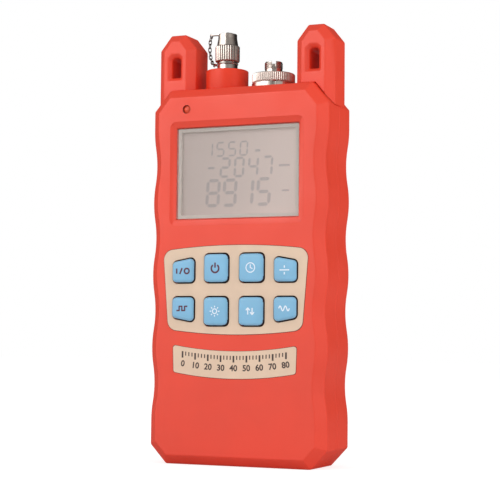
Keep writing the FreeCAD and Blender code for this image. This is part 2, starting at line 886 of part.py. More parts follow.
def battery_springs():
    """The cone spring at each cell's flat end, its wide turn on the contact plate."""
    turn_point_count = 10
    steps = round(spring_turns * turn_point_count)
    springs = []
    for index in range(cell_count):
        x, bottom_z, top_z = cell_place(index)
        wide_z = top_z + spring_length if index % 2 else bottom_z - spring_length
        rise = spring_length - 2 * spring_wire
        sign = -1 if index % 2 else 1
        path = []
        for i in range(steps + 1):
            share = i / steps
            turn = 2 * math.pi * spring_turns * share
            radius = spring_big_radius + (spring_small_radius - spring_big_radius) * share
            path.append(Vector(x + radius * math.cos(turn), cell_y + radius * math.sin(turn),
                               wide_z + sign * (spring_wire + rise * share)))
        springs.append(faceted_wire(path, spring_wire, 4, Vector(0, 0, 1), False))
    return group(springs)


def contact_tab_places():
    """The solder tabs of the first and the last plate in the row of cells."""
    first = cell_place(0)[0]
    last = cell_place(cell_count - 1)[0]
    return [(first, low_contact_z), (last, cell_top_z if cell_count % 2 else low_contact_z)]


def contact_tab(x, z, grow=0.0):
    half = contact_strip / 2 + grow
    return box(x - half, x + half, board_back_y, cell_y - contact_half, z - grow, z + contact_thick + grow)


def contact_plates():
    """The plates at the cells' ends: they join the cells in a row and reach the board at both ends of it."""
    plates = []
    for z, first_pair in ((low_contact_z, 1), (cell_top_z, 0)):
        for index in range(cell_count):
            x = cell_place(index)[0]
            plates.append(box(x - contact_half, x + contact_half, cell_y - contact_half,
                              cell_y + contact_half, z, z + contact_thick))
        for index in range(first_pair, cell_count - 1, 2):
            x0, x1 = cell_place(index)[0], cell_place(index + 1)[0]
            plates.append(box(x0, x1, cell_y - contact_strip / 2, cell_y + contact_strip / 2,
                              z, z + contact_thick))
    plates += [contact_tab(x, z) for x, z in contact_tab_places()]
    return group([plates[0].fuse(plates[1:]).removeSplitter()])


def case_screws():
    """Four screws from behind, with crossed driver slots."""
    seat_y = back_y - case_head_depth
    screws = []
    for x, z in case_screw_places():
        shank = rod_y(case_screw_radius, x, z, seat_y - case_screw_length, seat_y)
        head = rod_y(case_head_radius, x, z, seat_y, seat_y + case_head_height)
        reach = case_head_radius * 0.6
        slot = case_head_radius * 0.12
        cross = [box(x - u, x + u, seat_y + case_head_height / 2, seat_y + case_head_height, z - v, z + v)
                 for u, v in ((reach, slot), (slot, reach))]
        screws.append(without(joined(shank, head), *cross))
    return group(screws)


# Light source port

def laser_collar():
    """The moulded collar round the light source port."""
    bore = neck_shank_radius + port_gap
    cap_z = collar_top_z - collar_cap
    top_bore = neck_radius + port_gap
    soft = collar_cap / 3
    return turned(laser_x, [(bore, body_height), (collar_radius, body_height),
                            (collar_radius, collar_top_z - soft), (collar_radius - soft, collar_top_z),
                            (top_bore, collar_top_z), (top_bore, cap_z), (bore, cap_z)])


def laser_neck():
    """The metal port: a flange inside the case, a shank, a neck with the ring's groove and a thread."""
    shank_top_z = collar_top_z - collar_cap - port_gap
    spigot_top = neck_bottom_z + module_spigot + port_gap
    sleeve_bore = sleeve_radius + turned_gap
    groove = neck_radius - ring_groove
    return turned(laser_x, [
        (beam_radius, neck_bottom_z), (neck_flange_radius, neck_bottom_z),
        (neck_flange_radius, neck_bottom_z + neck_flange), (neck_shank_radius, neck_bottom_z + neck_flange),
        (neck_shank_radius, shank_top_z), (neck_radius, shank_top_z),
        (neck_radius, groove_top_z - ring_groove_height), (groove, groove_top_z - ring_groove_height),
        (groove, groove_top_z), (neck_radius, groove_top_z), (neck_radius, neck_top_z),
        (thread_radius, neck_top_z), (thread_radius, neck_end_z), (ferrule_radius + port_gap, neck_end_z),
        (ferrule_radius + port_gap, sleeve_top_z), (sleeve_bore, sleeve_top_z),
        (sleeve_bore, sleeve_bottom_z), (beam_hole_radius, sleeve_bottom_z),
        (beam_hole_radius, spigot_top), (beam_radius, spigot_top)])


def laser_sleeve():
    """The split ceramic sleeve that lines a ferrule up."""
    tube = turned(laser_x, [(ferrule_radius, sleeve_bottom_z), (sleeve_radius, sleeve_bottom_z),
                            (sleeve_radius, sleeve_top_z), (ferrule_radius, sleeve_top_z)])
    slit = box(laser_x - sleeve_slit / 2, laser_x + sleeve_slit / 2, mid_y, mid_y + 2 * sleeve_radius,
               sleeve_bottom_z, sleeve_top_z)
    return without(tube, slit)


def laser_module():
    """The light source's barrel, its spigot in the foot of the port."""
    spigot = beam_radius - turned_gap
    spigot_z = neck_bottom_z + module_spigot
    return turned(laser_x, [(0, module_bottom_z), (module_radius, module_bottom_z),
                            (module_radius, neck_bottom_z), (spigot, neck_bottom_z),
                            (spigot, spigot_z), (0, spigot_z)])


def bent_leads(x, start_z):
    """Three square leads that drop from a can and turn forward to the board."""
    leads = []
    low_z = start_z - lead_drop
    for i in (-1, 0, 1):
        x0 = x + i * lead_pitch - lead_size / 2
        x1 = x0 + lead_size
        drop = box(x0, x1, mid_y - lead_size / 2, mid_y + lead_size / 2, low_z, start_z)
        reach = box(x0, x1, board_back_y, mid_y + lead_size / 2, low_z, low_z + lead_size)
        leads.append(joined(drop, reach))
    return leads


def laser_diode():
    """The emitter can under the barrel, with its leads."""
    flange_z = module_bottom_z - diode_flange
    return joined(rod_z(diode_radius, laser_x, flange_z, module_bottom_z), *bent_leads(laser_x, flange_z))


# Dust cap and chain

def star(x, radius, depth, count, z):
    """A closed outline of straight flutes round an upright axis."""
    corners = []
    for i in range(2 * count):
        turn = math.pi * i / count
        reach = radius - depth * (i % 2)
        corners.append(Vector(x + reach * math.cos(turn), mid_y + reach * math.sin(turn), z))
    return Part.makePolygon(corners + corners[:1])


def fluted(x, radius, depth, count, z0, z1, chamfer):
    """A fluted disc with both rims chamfered."""
    wires = [star(x, radius - chamfer, depth, count, z0), star(x, radius, depth, count, z0 + chamfer),
             star(x, radius, depth, count, z1 - chamfer), star(x, radius - chamfer, depth, count, z1)]
    return Part.makeLoft(wires, True, True)


def dust_cap():
    """The metal cap: a fluted skirt, a cone and a flat top, bored to sit over the port's thread."""
    skirt = fluted(laser_x, cap_radius, cap_flute_depth, cap_flute_count,
                   cap_bottom_z, cap_shoulder_z, cap_chamfer)
    shoulder = cap_radius - cap_chamfer - cap_flute_depth
    cone_z = cap_shoulder_z + cap_cone_height
    bore = thread_radius + port_gap
    bore_z = cap_bottom_z + cap_bore_depth
    head = turned(laser_x, [(0, cap_shoulder_z), (shoulder, cap_shoulder_z),
                            (cap_top_radius, cone_z), (cap_top_radius, cap_top_z - cap_chamfer),
                            (cap_top_radius - cap_chamfer, cap_top_z), (0, cap_top_z)])
    cutters = [rod_z(bore, laser_x, cap_bottom_z, bore_z),
               rod_z(rivet_shank_radius + turned_gap, laser_x, cap_top_z - cap_top_height, cap_top_z)]
    return without(joined(skirt, head), *cutters)


def chain_tab():
    """The flat swivel plate on the cap's top, with an eye for the chain."""
    eye_x = laser_x - tab_eye_reach
    disc = rod_z(tab_radius, laser_x, cap_top_z, tab_top_z)
    eye = rod_z(tab_eye_radius, eye_x, cap_top_z, tab_top_z)
    arm = box(eye_x, laser_x, mid_y - tab_eye_radius, mid_y + tab_eye_radius, cap_top_z, tab_top_z)
    holes = [rod_z(tab_eye_hole, eye_x, cap_top_z, tab_top_z),
             rod_z(rivet_shank_radius + turned_gap, laser_x, cap_top_z, tab_top_z)]
    return without(joined(disc, arm, eye), *holes)


def cap_rivet():
    """The rivet that holds the swivel plate."""
    low_z = cap_top_z - cap_top_height + turned_gap
    head_z = tab_top_z + rivet_head
    return turned(laser_x, [(0, low_z), (rivet_shank_radius, low_z), (rivet_shank_radius, tab_top_z),
                            (rivet_radius, tab_top_z), (rivet_radius * 0.7, head_z), (0, head_z)])


def neck_ring():
    """The wire ring in the port's groove, drawn out on one side into an eye."""
    radius = neck_radius - ring_groove + ring_wire + 2 * turned_gap
    point_count = 24
    path = []
    for i in range(point_count):
        turn = 2 * math.pi * (i + 0.5) / point_count
        away = abs(turn - math.pi)
        reach = radius + (ring_eye_reach if away < math.radians(ring_eye_turn) else 0)
        path.append(Vector(laser_x + reach * math.cos(turn), mid_y + reach * math.sin(turn), ring_z))
    return faceted_wire(path, ring_wire, 6, Vector(0, 0, 1), True)


def chain_ends():
    """The wire centres that the first and the last link hold: the ring's eye and the plate's eye."""
    ring_reach = neck_radius - ring_groove + ring_wire + 2 * turned_gap + ring_eye_reach
    rim = (tab_eye_radius + tab_eye_hole) / 2
    lean = math.radians(chain_lean)
    start = Vector(laser_x - ring_reach, mid_y, ring_z)
    end = Vector(laser_x - tab_eye_reach - rim * math.cos(lean), mid_y + rim * math.sin(lean),
                 cap_top_z + tab_thick / 2)
    return start, end


def link(centre, ahead, across, length, width):
    """One long link of round wire, from the sizes of its centre line."""
    bend = width / 2
    straight = length / 2 - bend
    path = []
    for side in (1, -1):
        for turn in (-90, -45, 0, 45, 90):
            a = math.radians(turn)
            path.append(centre + ahead * (side * (straight + bend * math.cos(a)))
                        + across * (side * bend * math.sin(a)))
    return faceted_wire(path, link_wire, 6, ahead.cross(across), True)


def cap_chain():
    """Links along a slack arc that leans back, each one square to the next, sized to fill the arc."""
    start, end = chain_ends()
    chord = end - start
    span = chord.Length
    radius = (span ** 2 / 4 + chain_bulge ** 2) / (2 * chain_bulge)
    spread = 2 * math.asin(span / (2 * radius))
    length = radius * spread
    rim_hold = math.hypot(tab_eye_radius - tab_eye_hole, tab_thick) / 2
    end_hold = 2 * link_wire + ring_wire + rim_hold + 2 * link_gap
    link_length = (length + end_hold + (link_count - 1) * (2 * link_wire + link_gap)) / link_count
    pitch = link_length - 2 * link_wire - link_gap
    along = Vector(chord).normalize()
    lean = math.radians(chain_lean)
    side = along.cross(Vector(0, 1, 0)).normalize()
    out = side * math.cos(lean) + side.cross(along) * math.sin(lean)
    centre = start + chord * 0.5 - out * (radius - chain_bulge)
    first = link_length / 2 - link_wire - ring_wire - link_gap
    links = []
    for i in range(link_count):
        turn = (first + i * pitch) / radius - spread / 2
        spot = centre + out * (radius * math.cos(turn)) + along * (radius * math.sin(turn))
        ahead = along * math.cos(turn) - out * math.sin(turn)
        across = Vector(0, 1, 0).cross(ahead).normalize()
        if i % 2:
            across = ahead.cross(across)
        links.append(link(spot, ahead, across, link_length, link_width - 2 * link_wire))
    return group(links)


# Detector port

def facing_slot(width, inner, outer, z0, z1):
    """A radial slot in the detector port, turned from the front towards +X."""
    slot = box(detector_x - width / 2, detector_x + width / 2, mid_y - outer, mid_y - inner, z0, z1)
    slot.rotate(Vector(detector_x, mid_y, 0), Vector(0, 0, 1), key_slot_turn)
    return slot


def detector_base():
    """The metal base: clamped by a groove in the top wall, threaded above, hollow for the sensor."""
    pocket = photodiode_radius + turned_gap
    pocket_z = base_bottom_z + photodiode_height
    base = turned(detector_x, [
        (pocket, base_bottom_z), (base_tube_radius, base_bottom_z), (base_tube_radius, base_flange_z),
        (base_flange_radius, base_flange_z), (base_flange_radius, base_flange_z + base_flange),
        (base_shank_radius, base_flange_z + base_flange), (base_shank_radius, body_height),
        (base_radius, body_height), (base_radius, base_top_z), (base_spigot_radius, base_top_z),
        (base_spigot_radius, spigot_top_z), (base_bore, spigot_top_z), (base_bore, pocket_z),
        (pocket, pocket_z)])
    notch = facing_slot(base_notch_width, base_radius - base_notch_depth, base_radius + 1,
                        body_height, base_top_z)
    return without(base, notch)


def adapter_ring():
    """The knurled ring that clamps the receptacle on the base."""
    ring = fluted(detector_x, knurl_radius, knurl_depth, knurl_count,
                  knurl_bottom_z, knurl_top_z, knurl_chamfer)
    bore = rod_z(base_spigot_radius + port_gap, detector_x, knurl_bottom_z, knurl_top_z - knurl_lip)
    mouth = rod_z(barrel_radius + port_gap, detector_x, knurl_top_z - knurl_lip, knurl_top_z)
    return without(ring, bore, mouth)


def fc_receptacle():
    """The threaded receptacle: a clamped flange, a neck, a barrel with a key slot and a ferrule guide."""
    flange_z = spigot_top_z + turned_gap
    flange_top_z = flange_z + barrel_flange
    neck_z = knurl_top_z + barrel_neck_height
    guide_z = socket_bottom_z - ferrule_guide_length
    spigot = base_bore - turned_gap
    body = turned(detector_x, [
        (ferrule_radius, guide_z), (spigot, guide_z), (spigot, flange_z),
        (barrel_flange_radius, flange_z), (barrel_flange_radius, flange_top_z),
        (barrel_neck_radius, flange_top_z), (barrel_neck_radius, neck_z),
        (barrel_radius, neck_z), (barrel_radius, barrel_top_z - barrel_chamfer),
        (barrel_radius - barrel_chamfer, barrel_top_z), (socket_radius, barrel_top_z),
        (socket_radius, socket_bottom_z), (ferrule_radius, socket_bottom_z)])
    key_slot = facing_slot(key_slot_width, socket_radius / 2, barrel_radius + 1, neck_z, barrel_top_z)
    return without(body, key_slot)


def photodiode():
    """The sensor can in the base, with its leads."""
    can = rod_z(photodiode_radius, detector_x, base_bottom_z, base_bottom_z + photodiode_height)
    return joined(can, *bent_leads(detector_x, base_bottom_z))


# Output

NODES = {
    "front_shell": front_shell,
    "rear_shell": rear_shell,
    "battery_door": battery_door,
    "display_window": display_window,
    "lcd_panel": lcd_panel,
    "lcd_tray": lcd_tray,
    "keypad_plate": keypad_plate,
    "label_strip": label_strip,
    "keypad_mat": keypad_mat,
    "main_board": main_board,
    "board_chips": board_chips,
    "board_screws": board_screws,
    "indicator_led": indicator_led,
    "battery_springs": battery_springs,
    "contact_plates": contact_plates,
    "case_screws": case_screws,
    "laser_collar": laser_collar,
    "laser_neck": laser_neck,
    "laser_sleeve": laser_sleeve,
    "laser_module": laser_module,
    "laser_diode": laser_diode,
    "dust_cap": dust_cap,
    "chain_tab": chain_tab,
    "cap_rivet": cap_rivet,
    "neck_ring": neck_ring,
    "cap_chain": cap_chain,
    "detector_base": detector_base,
    "adapter_ring": adapter_ring,
    "fc_receptacle": fc_receptacle,
    "photodiode": photodiode,
}


def main():
    os.makedirs("parts", exist_ok=True)
    shapes = {name: make() for name, make in NODES.items()}
    for side, sign in (("left", -1), ("right", 1)):
        shapes["strap_ear_" + side] = strap_ear(sign)
    for name, corners in key_outlines().items():
        shapes[name] = key(corners)
    for index in range(cell_count):
        shapes["battery_%d" % (index + 1)] = battery(index)
    for name, shape in shapes.items():
        print(name, shape.isValid(), len(shape.Solids), round(shape.Volume, 1))
        shape.exportStep("parts/%s.step" % name)


main()
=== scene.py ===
import functools
import math
import bmesh
import bpy
import numpy as np
from bpy.props import FloatProperty, FloatVectorProperty, IntProperty, PointerProperty, StringProperty
from mathutils import Matrix, Vector


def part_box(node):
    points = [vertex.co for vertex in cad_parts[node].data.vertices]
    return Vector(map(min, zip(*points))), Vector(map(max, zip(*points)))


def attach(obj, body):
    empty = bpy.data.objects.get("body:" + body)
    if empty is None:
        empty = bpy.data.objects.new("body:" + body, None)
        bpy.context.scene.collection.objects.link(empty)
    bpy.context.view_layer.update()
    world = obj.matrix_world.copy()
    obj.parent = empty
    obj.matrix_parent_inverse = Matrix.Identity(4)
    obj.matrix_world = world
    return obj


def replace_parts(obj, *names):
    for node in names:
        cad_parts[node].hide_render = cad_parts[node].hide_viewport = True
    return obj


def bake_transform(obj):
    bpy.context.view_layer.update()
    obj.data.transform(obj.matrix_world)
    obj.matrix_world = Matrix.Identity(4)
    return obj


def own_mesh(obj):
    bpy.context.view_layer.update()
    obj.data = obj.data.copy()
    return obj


bl_info = {
    "name": "Optical Power Meter",
    "version": (1, 0, 0),
    "blender": (4, 5, 0),
    "location": "View3D > Sidebar > Meter",
    "description": "Finishes a handheld optical power meter round its solid model",
    "category": "Add Mesh",
}

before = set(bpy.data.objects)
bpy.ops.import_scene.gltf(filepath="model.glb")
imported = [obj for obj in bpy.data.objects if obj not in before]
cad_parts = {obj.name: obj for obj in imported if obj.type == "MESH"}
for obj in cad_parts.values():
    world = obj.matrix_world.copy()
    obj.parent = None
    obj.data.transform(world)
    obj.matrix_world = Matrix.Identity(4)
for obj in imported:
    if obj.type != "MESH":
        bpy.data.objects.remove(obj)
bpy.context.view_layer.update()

MM = 0.001
CASE = "case"


def span(node, axis=2):
    """Where a node of the solid model begins and ends along an axis, in millimetres."""
    return [round(corner[axis] / MM, 4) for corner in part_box(node)]


# The front face, the axes of the two ports, and the angle of the detector port's key slot

FRONT_Y = span("front_shell", 1)[0]
PORT_Y = sum(span("laser_neck", 1)) / 2
SOURCE_X = sum(span("laser_neck", 0)) / 2
DETECTOR_X = sum(span("adapter_ring", 0)) / 2
SLOT_TURN = math.radians(-66.0)

# Heights that several pieces share: the case's top, the ports' flanges, the knurled ring, the cap and
# the swivel plate on it, and how far the cap's flutes rise

CASE_TOP = span("front_shell")[1]
FLANGE_LOW = span("laser_neck")[0]
FLANGE_TOP = FLANGE_LOW + 1.5
KNURL_LOW, KNURL_TOP = span("adapter_ring")
CAP_LOW, CAP_TOP = span("dust_cap")
PLATE_LOW, PLATE_TOP = span("chain_tab")
FLUTE_TALL = 7.2

# Rounding of the seam between the shells, in millimetres, and the angles, in degrees, that steer the
# rounding: faces turned less are one plane, and edges turned less are drawn smooth

SEAM_ROUND = 0.12
PLANE_ANGLE = 0.4
SMOOTH_ANGLE = 16.0
CORNER_ANGLE = 50.0


# Surfaces

def grid_faces(rows, columns, wrap_rows, wrap_columns):
    """Quads between neighbouring rows and columns of a grid of points, closed round where asked."""
    i = np.arange(rows if wrap_rows else rows - 1)[:, None]
    j = np.arange(columns if wrap_columns else columns - 1)[None, :]
    below = (i + 1) % rows
    right = (j + 1) % columns
    corners = [i * columns + j, i * columns + right, below * columns + right, below * columns + j]
    return np.stack(corners, -1).reshape(-1, 4)


def skin(grid, wrap_rows=False, poles=(None, None)):
    """A closed surface over a grid of points whose columns run round: open ends close on a pole point."""
    rows, columns = grid.shape[:2]
    points = grid.reshape(-1, 3)
    faces = grid_faces(rows, columns, wrap_rows, True)
    triangles = []
    j = np.arange(columns)
    for row, pole in ((0, poles[0]), (rows - 1, poles[1])):
        if pole is None:
            continue
        ring = row * columns + j
        following = row * columns + (j + 1) % columns
        tip = np.full(columns, len(points))
        points = np.vstack([points, [pole]])
        order = (following, ring, tip) if row == 0 else (ring, following, tip)
        triangles.append(np.stack(order, -1))
    return outward(points, faces, np.vstack(triangles) if triangles else np.zeros((0, 3), int))


def outward(points, quads, triangles):
    """The same surface with its faces turned outwards, from the sign of the volume it encloses."""
    fans = np.vstack([quads[:, [0, 1, 2]], quads[:, [0, 2, 3]], triangles])
    a, b, c = (points[fans[:, k]] for k in range(3))
    volume = np.einsum("ij,ij->", a - points[0], np.cross(b - points[0], c - points[0]))
    if volume < 0:
        quads = quads[:, ::-1]
        triangles = triangles[:, ::-1]
    return points, quads, triangles


def gathered(surfaces):
    """Several surfaces as one list of points, quads and triangles."""
    points, quads, triangles, start = [], [], [], 0
    for some_points, some_quads, some_triangles in surfaces:
        points.append(some_points)
        quads.append(some_quads + start)
        triangles.append(some_triangles + start)
        start += len(some_points)
    return np.vstack(points), np.vstack(quads), np.vstack(triangles)


def new_piece(name, surfaces, finish, body=CASE, sharp=35.0):
    """An object from surfaces in millimetres, riding on a body of the solid model."""
    points, quads, triangles = gathered(surfaces)
    mesh = bpy.data.meshes.new(name)
    mesh.from_pydata((points * MM).tolist(), [], quads.tolist() + triangles.tolist())
    mesh.polygons.foreach_set("use_smooth", np.ones(len(mesh.polygons), bool))
    mesh.set_sharp_from_angle(angle=math.radians(sharp))
    return placed(bpy.data.objects.new(name, mesh), finish, body)


def placed(piece, finish, body):
    """Links a piece to the scene, gives it its finish and lets it ride on its body."""
    bpy.context.scene.collection.objects.link(piece)
    piece.data.materials.clear()
    piece.data.materials.append(FINISHES[finish]())
    if body:
        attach(piece, body)
    return piece


def face_centres(mesh):
    """The middles of a mesh's faces in millimetres."""
    centres = np.empty(3 * len(mesh.polygons))
    mesh.polygons.foreach_get("center", centres)
    return centres.reshape(-1, 3) / MM


def softened(corners, radius, steps=4, closed=True):
    """A profile whose corners are rounded: each corner P becomes the curve
    (1-s)^2 A + 2s(1-s) P + s^2 B between points A and B one radius away along its two sides.
    Every corner row is radius, height, depth of pattern and its own rounding as a share."""
    corners = np.asarray(corners, float)
    before = np.roll(corners, 1, 0)
    after = np.roll(corners, -1, 0)
    back = before - corners
    ahead = after - corners
    reach_back = np.linalg.norm(back[:, :2], axis=1)
    reach_ahead = np.linalg.norm(ahead[:, :2], axis=1)
    limit = 0.45 * np.minimum(reach_back, reach_ahead)
    cut = np.minimum(radius, limit)
    if not closed:
        cut[[0, -1]] = 0
    start = corners + back * (cut / np.maximum(reach_back, 1e-9))[:, None]
    end = corners + ahead * (cut / np.maximum(reach_ahead, 1e-9))[:, None]
    s = np.linspace(0, 1, steps + 1)[None, :, None]
    curve = (1 - s) ** 2 * start[:, None] + 2 * s * (1 - s) * corners[:, None] + s ** 2 * end[:, None]
    rows = curve.reshape(-1, corners.shape[1])
    step = np.linalg.norm(np.diff(rows[:, :2], axis=0), axis=1)
    return rows[np.concatenate([[True], step > 1e-6])]


def plain(corners):
    """Profile corners without a pattern."""
    return [(radius, height, 0.0) for radius, height in corners]


def turned(x, y, profile, columns=96, pattern=None, poles=False):
    """A turned surface: the profile's (radius, height, depth) rows go round an upright axis, and the
    depth times a pattern between 0 and 1 of angle and height is taken off the radius."""
    t = np.linspace(0, 2 * np.pi, columns, endpoint=False)[None, :]
    radius, height, depth = (profile[:, k][:, None] for k in range(3))
    if pattern is not None:
        radius = radius - depth * pattern(t, height)
    radius = radius + 0 * t
    grid = np.stack([x + radius * np.cos(t), y + radius * np.sin(t), height + 0 * t], -1)
    if not poles:
        return skin(grid, wrap_rows=True)
    ends = [(x, y, profile[k, 1]) for k in (0, -1)]
    return skin(grid[1:-1], poles=ends)


def thread(pitch):
    """A thread's pattern: a rounded V that climbs one pitch in each turn."""
    return lambda t, z: 0.5 - 0.5 * np.cos(2 * np.pi * (z / pitch - t / (2 * np.pi)))


def thread_rows(core, depth, low, high, fade):
    """Profile rows for a thread between two heights, that rises from its core at both ends."""
    rows = np.linspace(low, high, 33)
    share = np.clip(np.minimum(rows - low, high - rows) / fade, 0, 1)
    return np.stack([core + depth * share, rows, depth * share], -1)


def flutes(count):
    """Rounded ribs with sharp valleys between them: 1 - |cos(count t / 2)|."""
    return lambda t, z: 1 - np.abs(np.cos(count * t / 2))


def knurl(count):
    """Fine straight knurling: even waves round the rim."""
    return lambda t, z: 0.5 - 0.5 * np.cos(count * t)


def notch(turn, half):
    """One slot in the rim, with steep sides, at an angle."""
    def cut(t, z):
        away = np.abs((t - turn + np.pi) % (2 * np.pi) - np.pi)
        return 1 - np.clip((away - half * 0.8) / (half * 0.4), 0, 1) + 0 * z
    return cut


def tube(path, first, second, radius, sides=10, closed=True):
    """A wire round a path: every path point carries a circle in the plane of its two unit vectors."""
    turn = np.linspace(0, 2 * np.pi, sides, endpoint=False)
    ring = (np.cos(turn)[None, :, None] * first[:, None] + np.sin(turn)[None, :, None] * second[:, None])
    grid = path[:, None] + radius * ring
    if closed:
        return skin(grid, wrap_rows=True)
    return skin(grid, poles=(path[0], path[-1]))


def prisms(outlines, y0, y1):
    """Flat shapes given thickness: every (x, z) outline is drawn at two depths and closed by fans."""
    surfaces = []
    for outline in outlines:
        rings = [np.stack([outline[:, 0], np.full(len(outline), y), outline[:, 1]], -1) for y in (y0, y1)]
        middle = outline.mean(0)
        ends = [(middle[0], y, middle[1]) for y in (y0, y1)]
        surfaces.append(skin(np.stack(rings), poles=ends))
    return surfaces


def merged_copy(nodes):
    """One mesh from copies of solids: their loose triangles are merged, the solids are joined where
    they meet, and triangles that lie in one plane become one face."""
    meshes = []
    for node in nodes:
        data = bmesh.new()
        data.from_mesh(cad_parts[node].data)
        bmesh.ops.remove_doubles(data, verts=data.verts, dist=1e-6)
        mesh = bpy.data.meshes.new(node + "_merged")
        data.to_mesh(mesh)
        data.free()
        mesh.materials.clear()
        meshes.append(mesh)
    first = bpy.data.objects.new("joining", meshes[0])
    bpy.context.scene.collection.objects.link(first)
    for mesh in meshes[1:]:
        other = bpy.data.objects.new("joined", mesh)
        bpy.context.scene.collection.objects.link(other)
        union = first.modifiers.new("union", "BOOLEAN")
        union.operation = "UNION"
        union.solver = "EXACT"
        union.object = other
        result = bpy.data.meshes.new_from_object(first.evaluated_get(bpy.context.evaluated_depsgraph_get()))
        first.modifiers.clear()
        first.data = result
        bpy.data.objects.remove(other)
    mesh = first.data
    bpy.data.objects.remove(first)
    return mesh


def rounded_copy(nodes, name, finish, body, radius, segments=2, angle=24.0):
    """A piece that stands for solids: a merged copy whose sharp edges are rounded, apart from those
    that end in details too small to take the rounding. The seam between the shells gets a finer one."""
    mesh = merged_copy(nodes)
    data = bmesh.new()
    data.from_mesh(mesh)
    bmesh.ops.remove_doubles(data, verts=data.verts, dist=2e-6)
    inner = [e for e in data.edges if not on_seam(e)]
    bmesh.ops.dissolve_limit(data, angle_limit=math.radians(PLANE_ANGLE), verts=data.verts, edges=inner)
    room = 1.15 * radius * MM
    roomy = [e for e in turned_edges(data, angle) if not on_seam(e)
             and all(o.calc_length() > room for v in e.verts for o in v.link_edges)]
    made = bmesh.ops.bevel(data, geom=roomy, offset=radius * MM, offset_type="OFFSET", segments=segments,
                           profile=0.5, affect="EDGES", clamp_overlap=False)
    soft = set(made["faces"])
    seam = [e for e in turned_edges(data, CORNER_ANGLE) if on_seam(e)]
    bmesh.ops.bevel(data, geom=seam, offset=SEAM_ROUND * MM, offset_type="OFFSET", segments=1,
                    profile=0.5, affect="EDGES", clamp_overlap=False)
    for edge in data.edges:
        turn = math.degrees(edge.calc_face_angle(math.pi))
        rounded = any(f.is_valid and f in soft for f in edge.link_faces)
        edge.smooth = turn < (CORNER_ANGLE if rounded else SMOOTH_ANGLE)
    for face in data.faces:
        face.smooth = True
    data.to_mesh(mesh)
    data.free()
    mesh.name = name
    piece = placed(bpy.data.objects.new(name, mesh), finish, body)
    weighted = piece.modifiers.new("weighted", "WEIGHTED_NORMAL")
    weighted.keep_sharp = True
    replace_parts(piece, *nodes)
    return piece


def turned_edges(data, angle):
    """The edges between two faces that meet at more than an angle in degrees."""
    return [e for e in data.edges if len(e.link_faces) == 2 and e.calc_face_angle(0) > math.radians(angle)]


def on_seam(edge):
    """Whether an edge lies where the front and rear shells part."""
    return all(abs(v.co.y - PORT_Y * MM) < 0.02 * MM for v in edge.verts)


def painted_shade_outline(node, name, margin=0.2, proud=0.04, sunk=0.1):
    """A painted shade line round a laid-in plate, standing for the shadow in its recess: a flattened copy of
    it, wider by the margin in millimetres, that ends just over the front shell's face."""
    mesh = merged_copy([node])
    points = np.empty(3 * len(mesh.vertices))
    mesh.vertices.foreach_get("co", points)
    points = points.reshape(-1, 3) / MM
    low, high = points.min(0), points.max(0)
    middle = (low + high) / 2
    grow = 1 + 2 * margin / (high - low)
    share = (points[:, 1] - low[1]) / (high[1] - low[1])
    points = middle + (points - middle) * grow
    points[:, 1] = FRONT_Y - proud + (proud + sunk) * share
    mesh.vertices.foreach_set("co", (points * MM).ravel())
    placed(bpy.data.objects.new(name, mesh), "edge_dark", CASE)


# Finishes

def principled(name, colour, roughness, metallic=0.0, **sockets):
    """A material with one shader, its uniform values set on the shader's own sockets."""
    material = bpy.data.materials.new(name)
    material.use_nodes = True
    shader = material.node_tree.nodes["Principled BSDF"]
    shader.inputs["Base Color"].default_value = (*linear(colour), 1)
    shader.inputs["Roughness"].default_value = roughness
    shader.inputs["Metallic"].default_value = metallic
    for socket, value in sockets.items():
        shader.inputs[socket.replace("_", " ")].default_value = value
    return material


def linear(colour):
    """Scene-linear values of a colour given as 8-bit screen values."""
    c = np.asarray(colour, float) / 255
    return tuple(np.where(c <= 0.04045, c / 12.92, ((c + 0.055) / 1.055) ** 2.4))


def add_node(material, kind, **inputs):
    """A new node in a material or world, with plain values on its sockets."""
    node = material.node_tree.nodes.new(kind)
    for socket, value in inputs.items():
        node.inputs[socket.replace("_", " ")].default_value = value
    return node


def wire(material, source, output, target, socket):
    """Links one node's output to another node's input."""
    material.node_tree.links.new(source.outputs[output], target.inputs[socket])


def feed(material, source, output, socket):
    """Links a node's output to the material's shader."""
    wire(material, source, output, material.node_tree.nodes["Principled BSDF"], socket)


def colour_ramp(material, first, second, low=0.0, high=1.0):
    """A ramp from one colour to another between two of its places."""
    ramp = add_node(material, "ShaderNodeValToRGB")
    for stop, place, colour in zip(ramp.color_ramp.elements, (low, high), (first, second)):
        stop.position = place
        stop.color = (*linear(colour), 1)
    return ramp


def noise_at(material, size, detail=2.0, stretch=(1, 1, 1)):
    """Noise whose features are about so many millimetres across, on the object's own coordinates."""
    place = add_node(material, "ShaderNodeTexCoord")
    mapping = add_node(material, "ShaderNodeMapping", Scale=stretch)
    noise = add_node(material, "ShaderNodeTexNoise", Scale=1 / (size * MM), Detail=detail)
    wire(material, place, "Object", mapping, "Vector")
    wire(material, mapping, "Vector", noise, "Vector")
    return noise


def add_grain(material, size, depth, detail=2.0, stretch=(1, 1, 1)):
    """Fine relief in the surface, depth in millimetres."""
    noise = noise_at(material, size, detail, stretch)
    bump = add_node(material, "ShaderNodeBump", Strength=1.0, Distance=depth * MM)
    wire(material, noise, "Fac", bump, "Height")
    feed(material, bump, "Normal", "Normal")


def add_tint(material, colour, other, size, low=0.35, high=0.65):
    """The base colour drifts between two near colours over the given size in millimetres."""
    noise = noise_at(material, size, 3.0)
    ramp = colour_ramp(material, colour, other, low, high)
    wire(material, noise, "Fac", ramp, "Fac")
    feed(material, ramp, "Color", "Base Color")


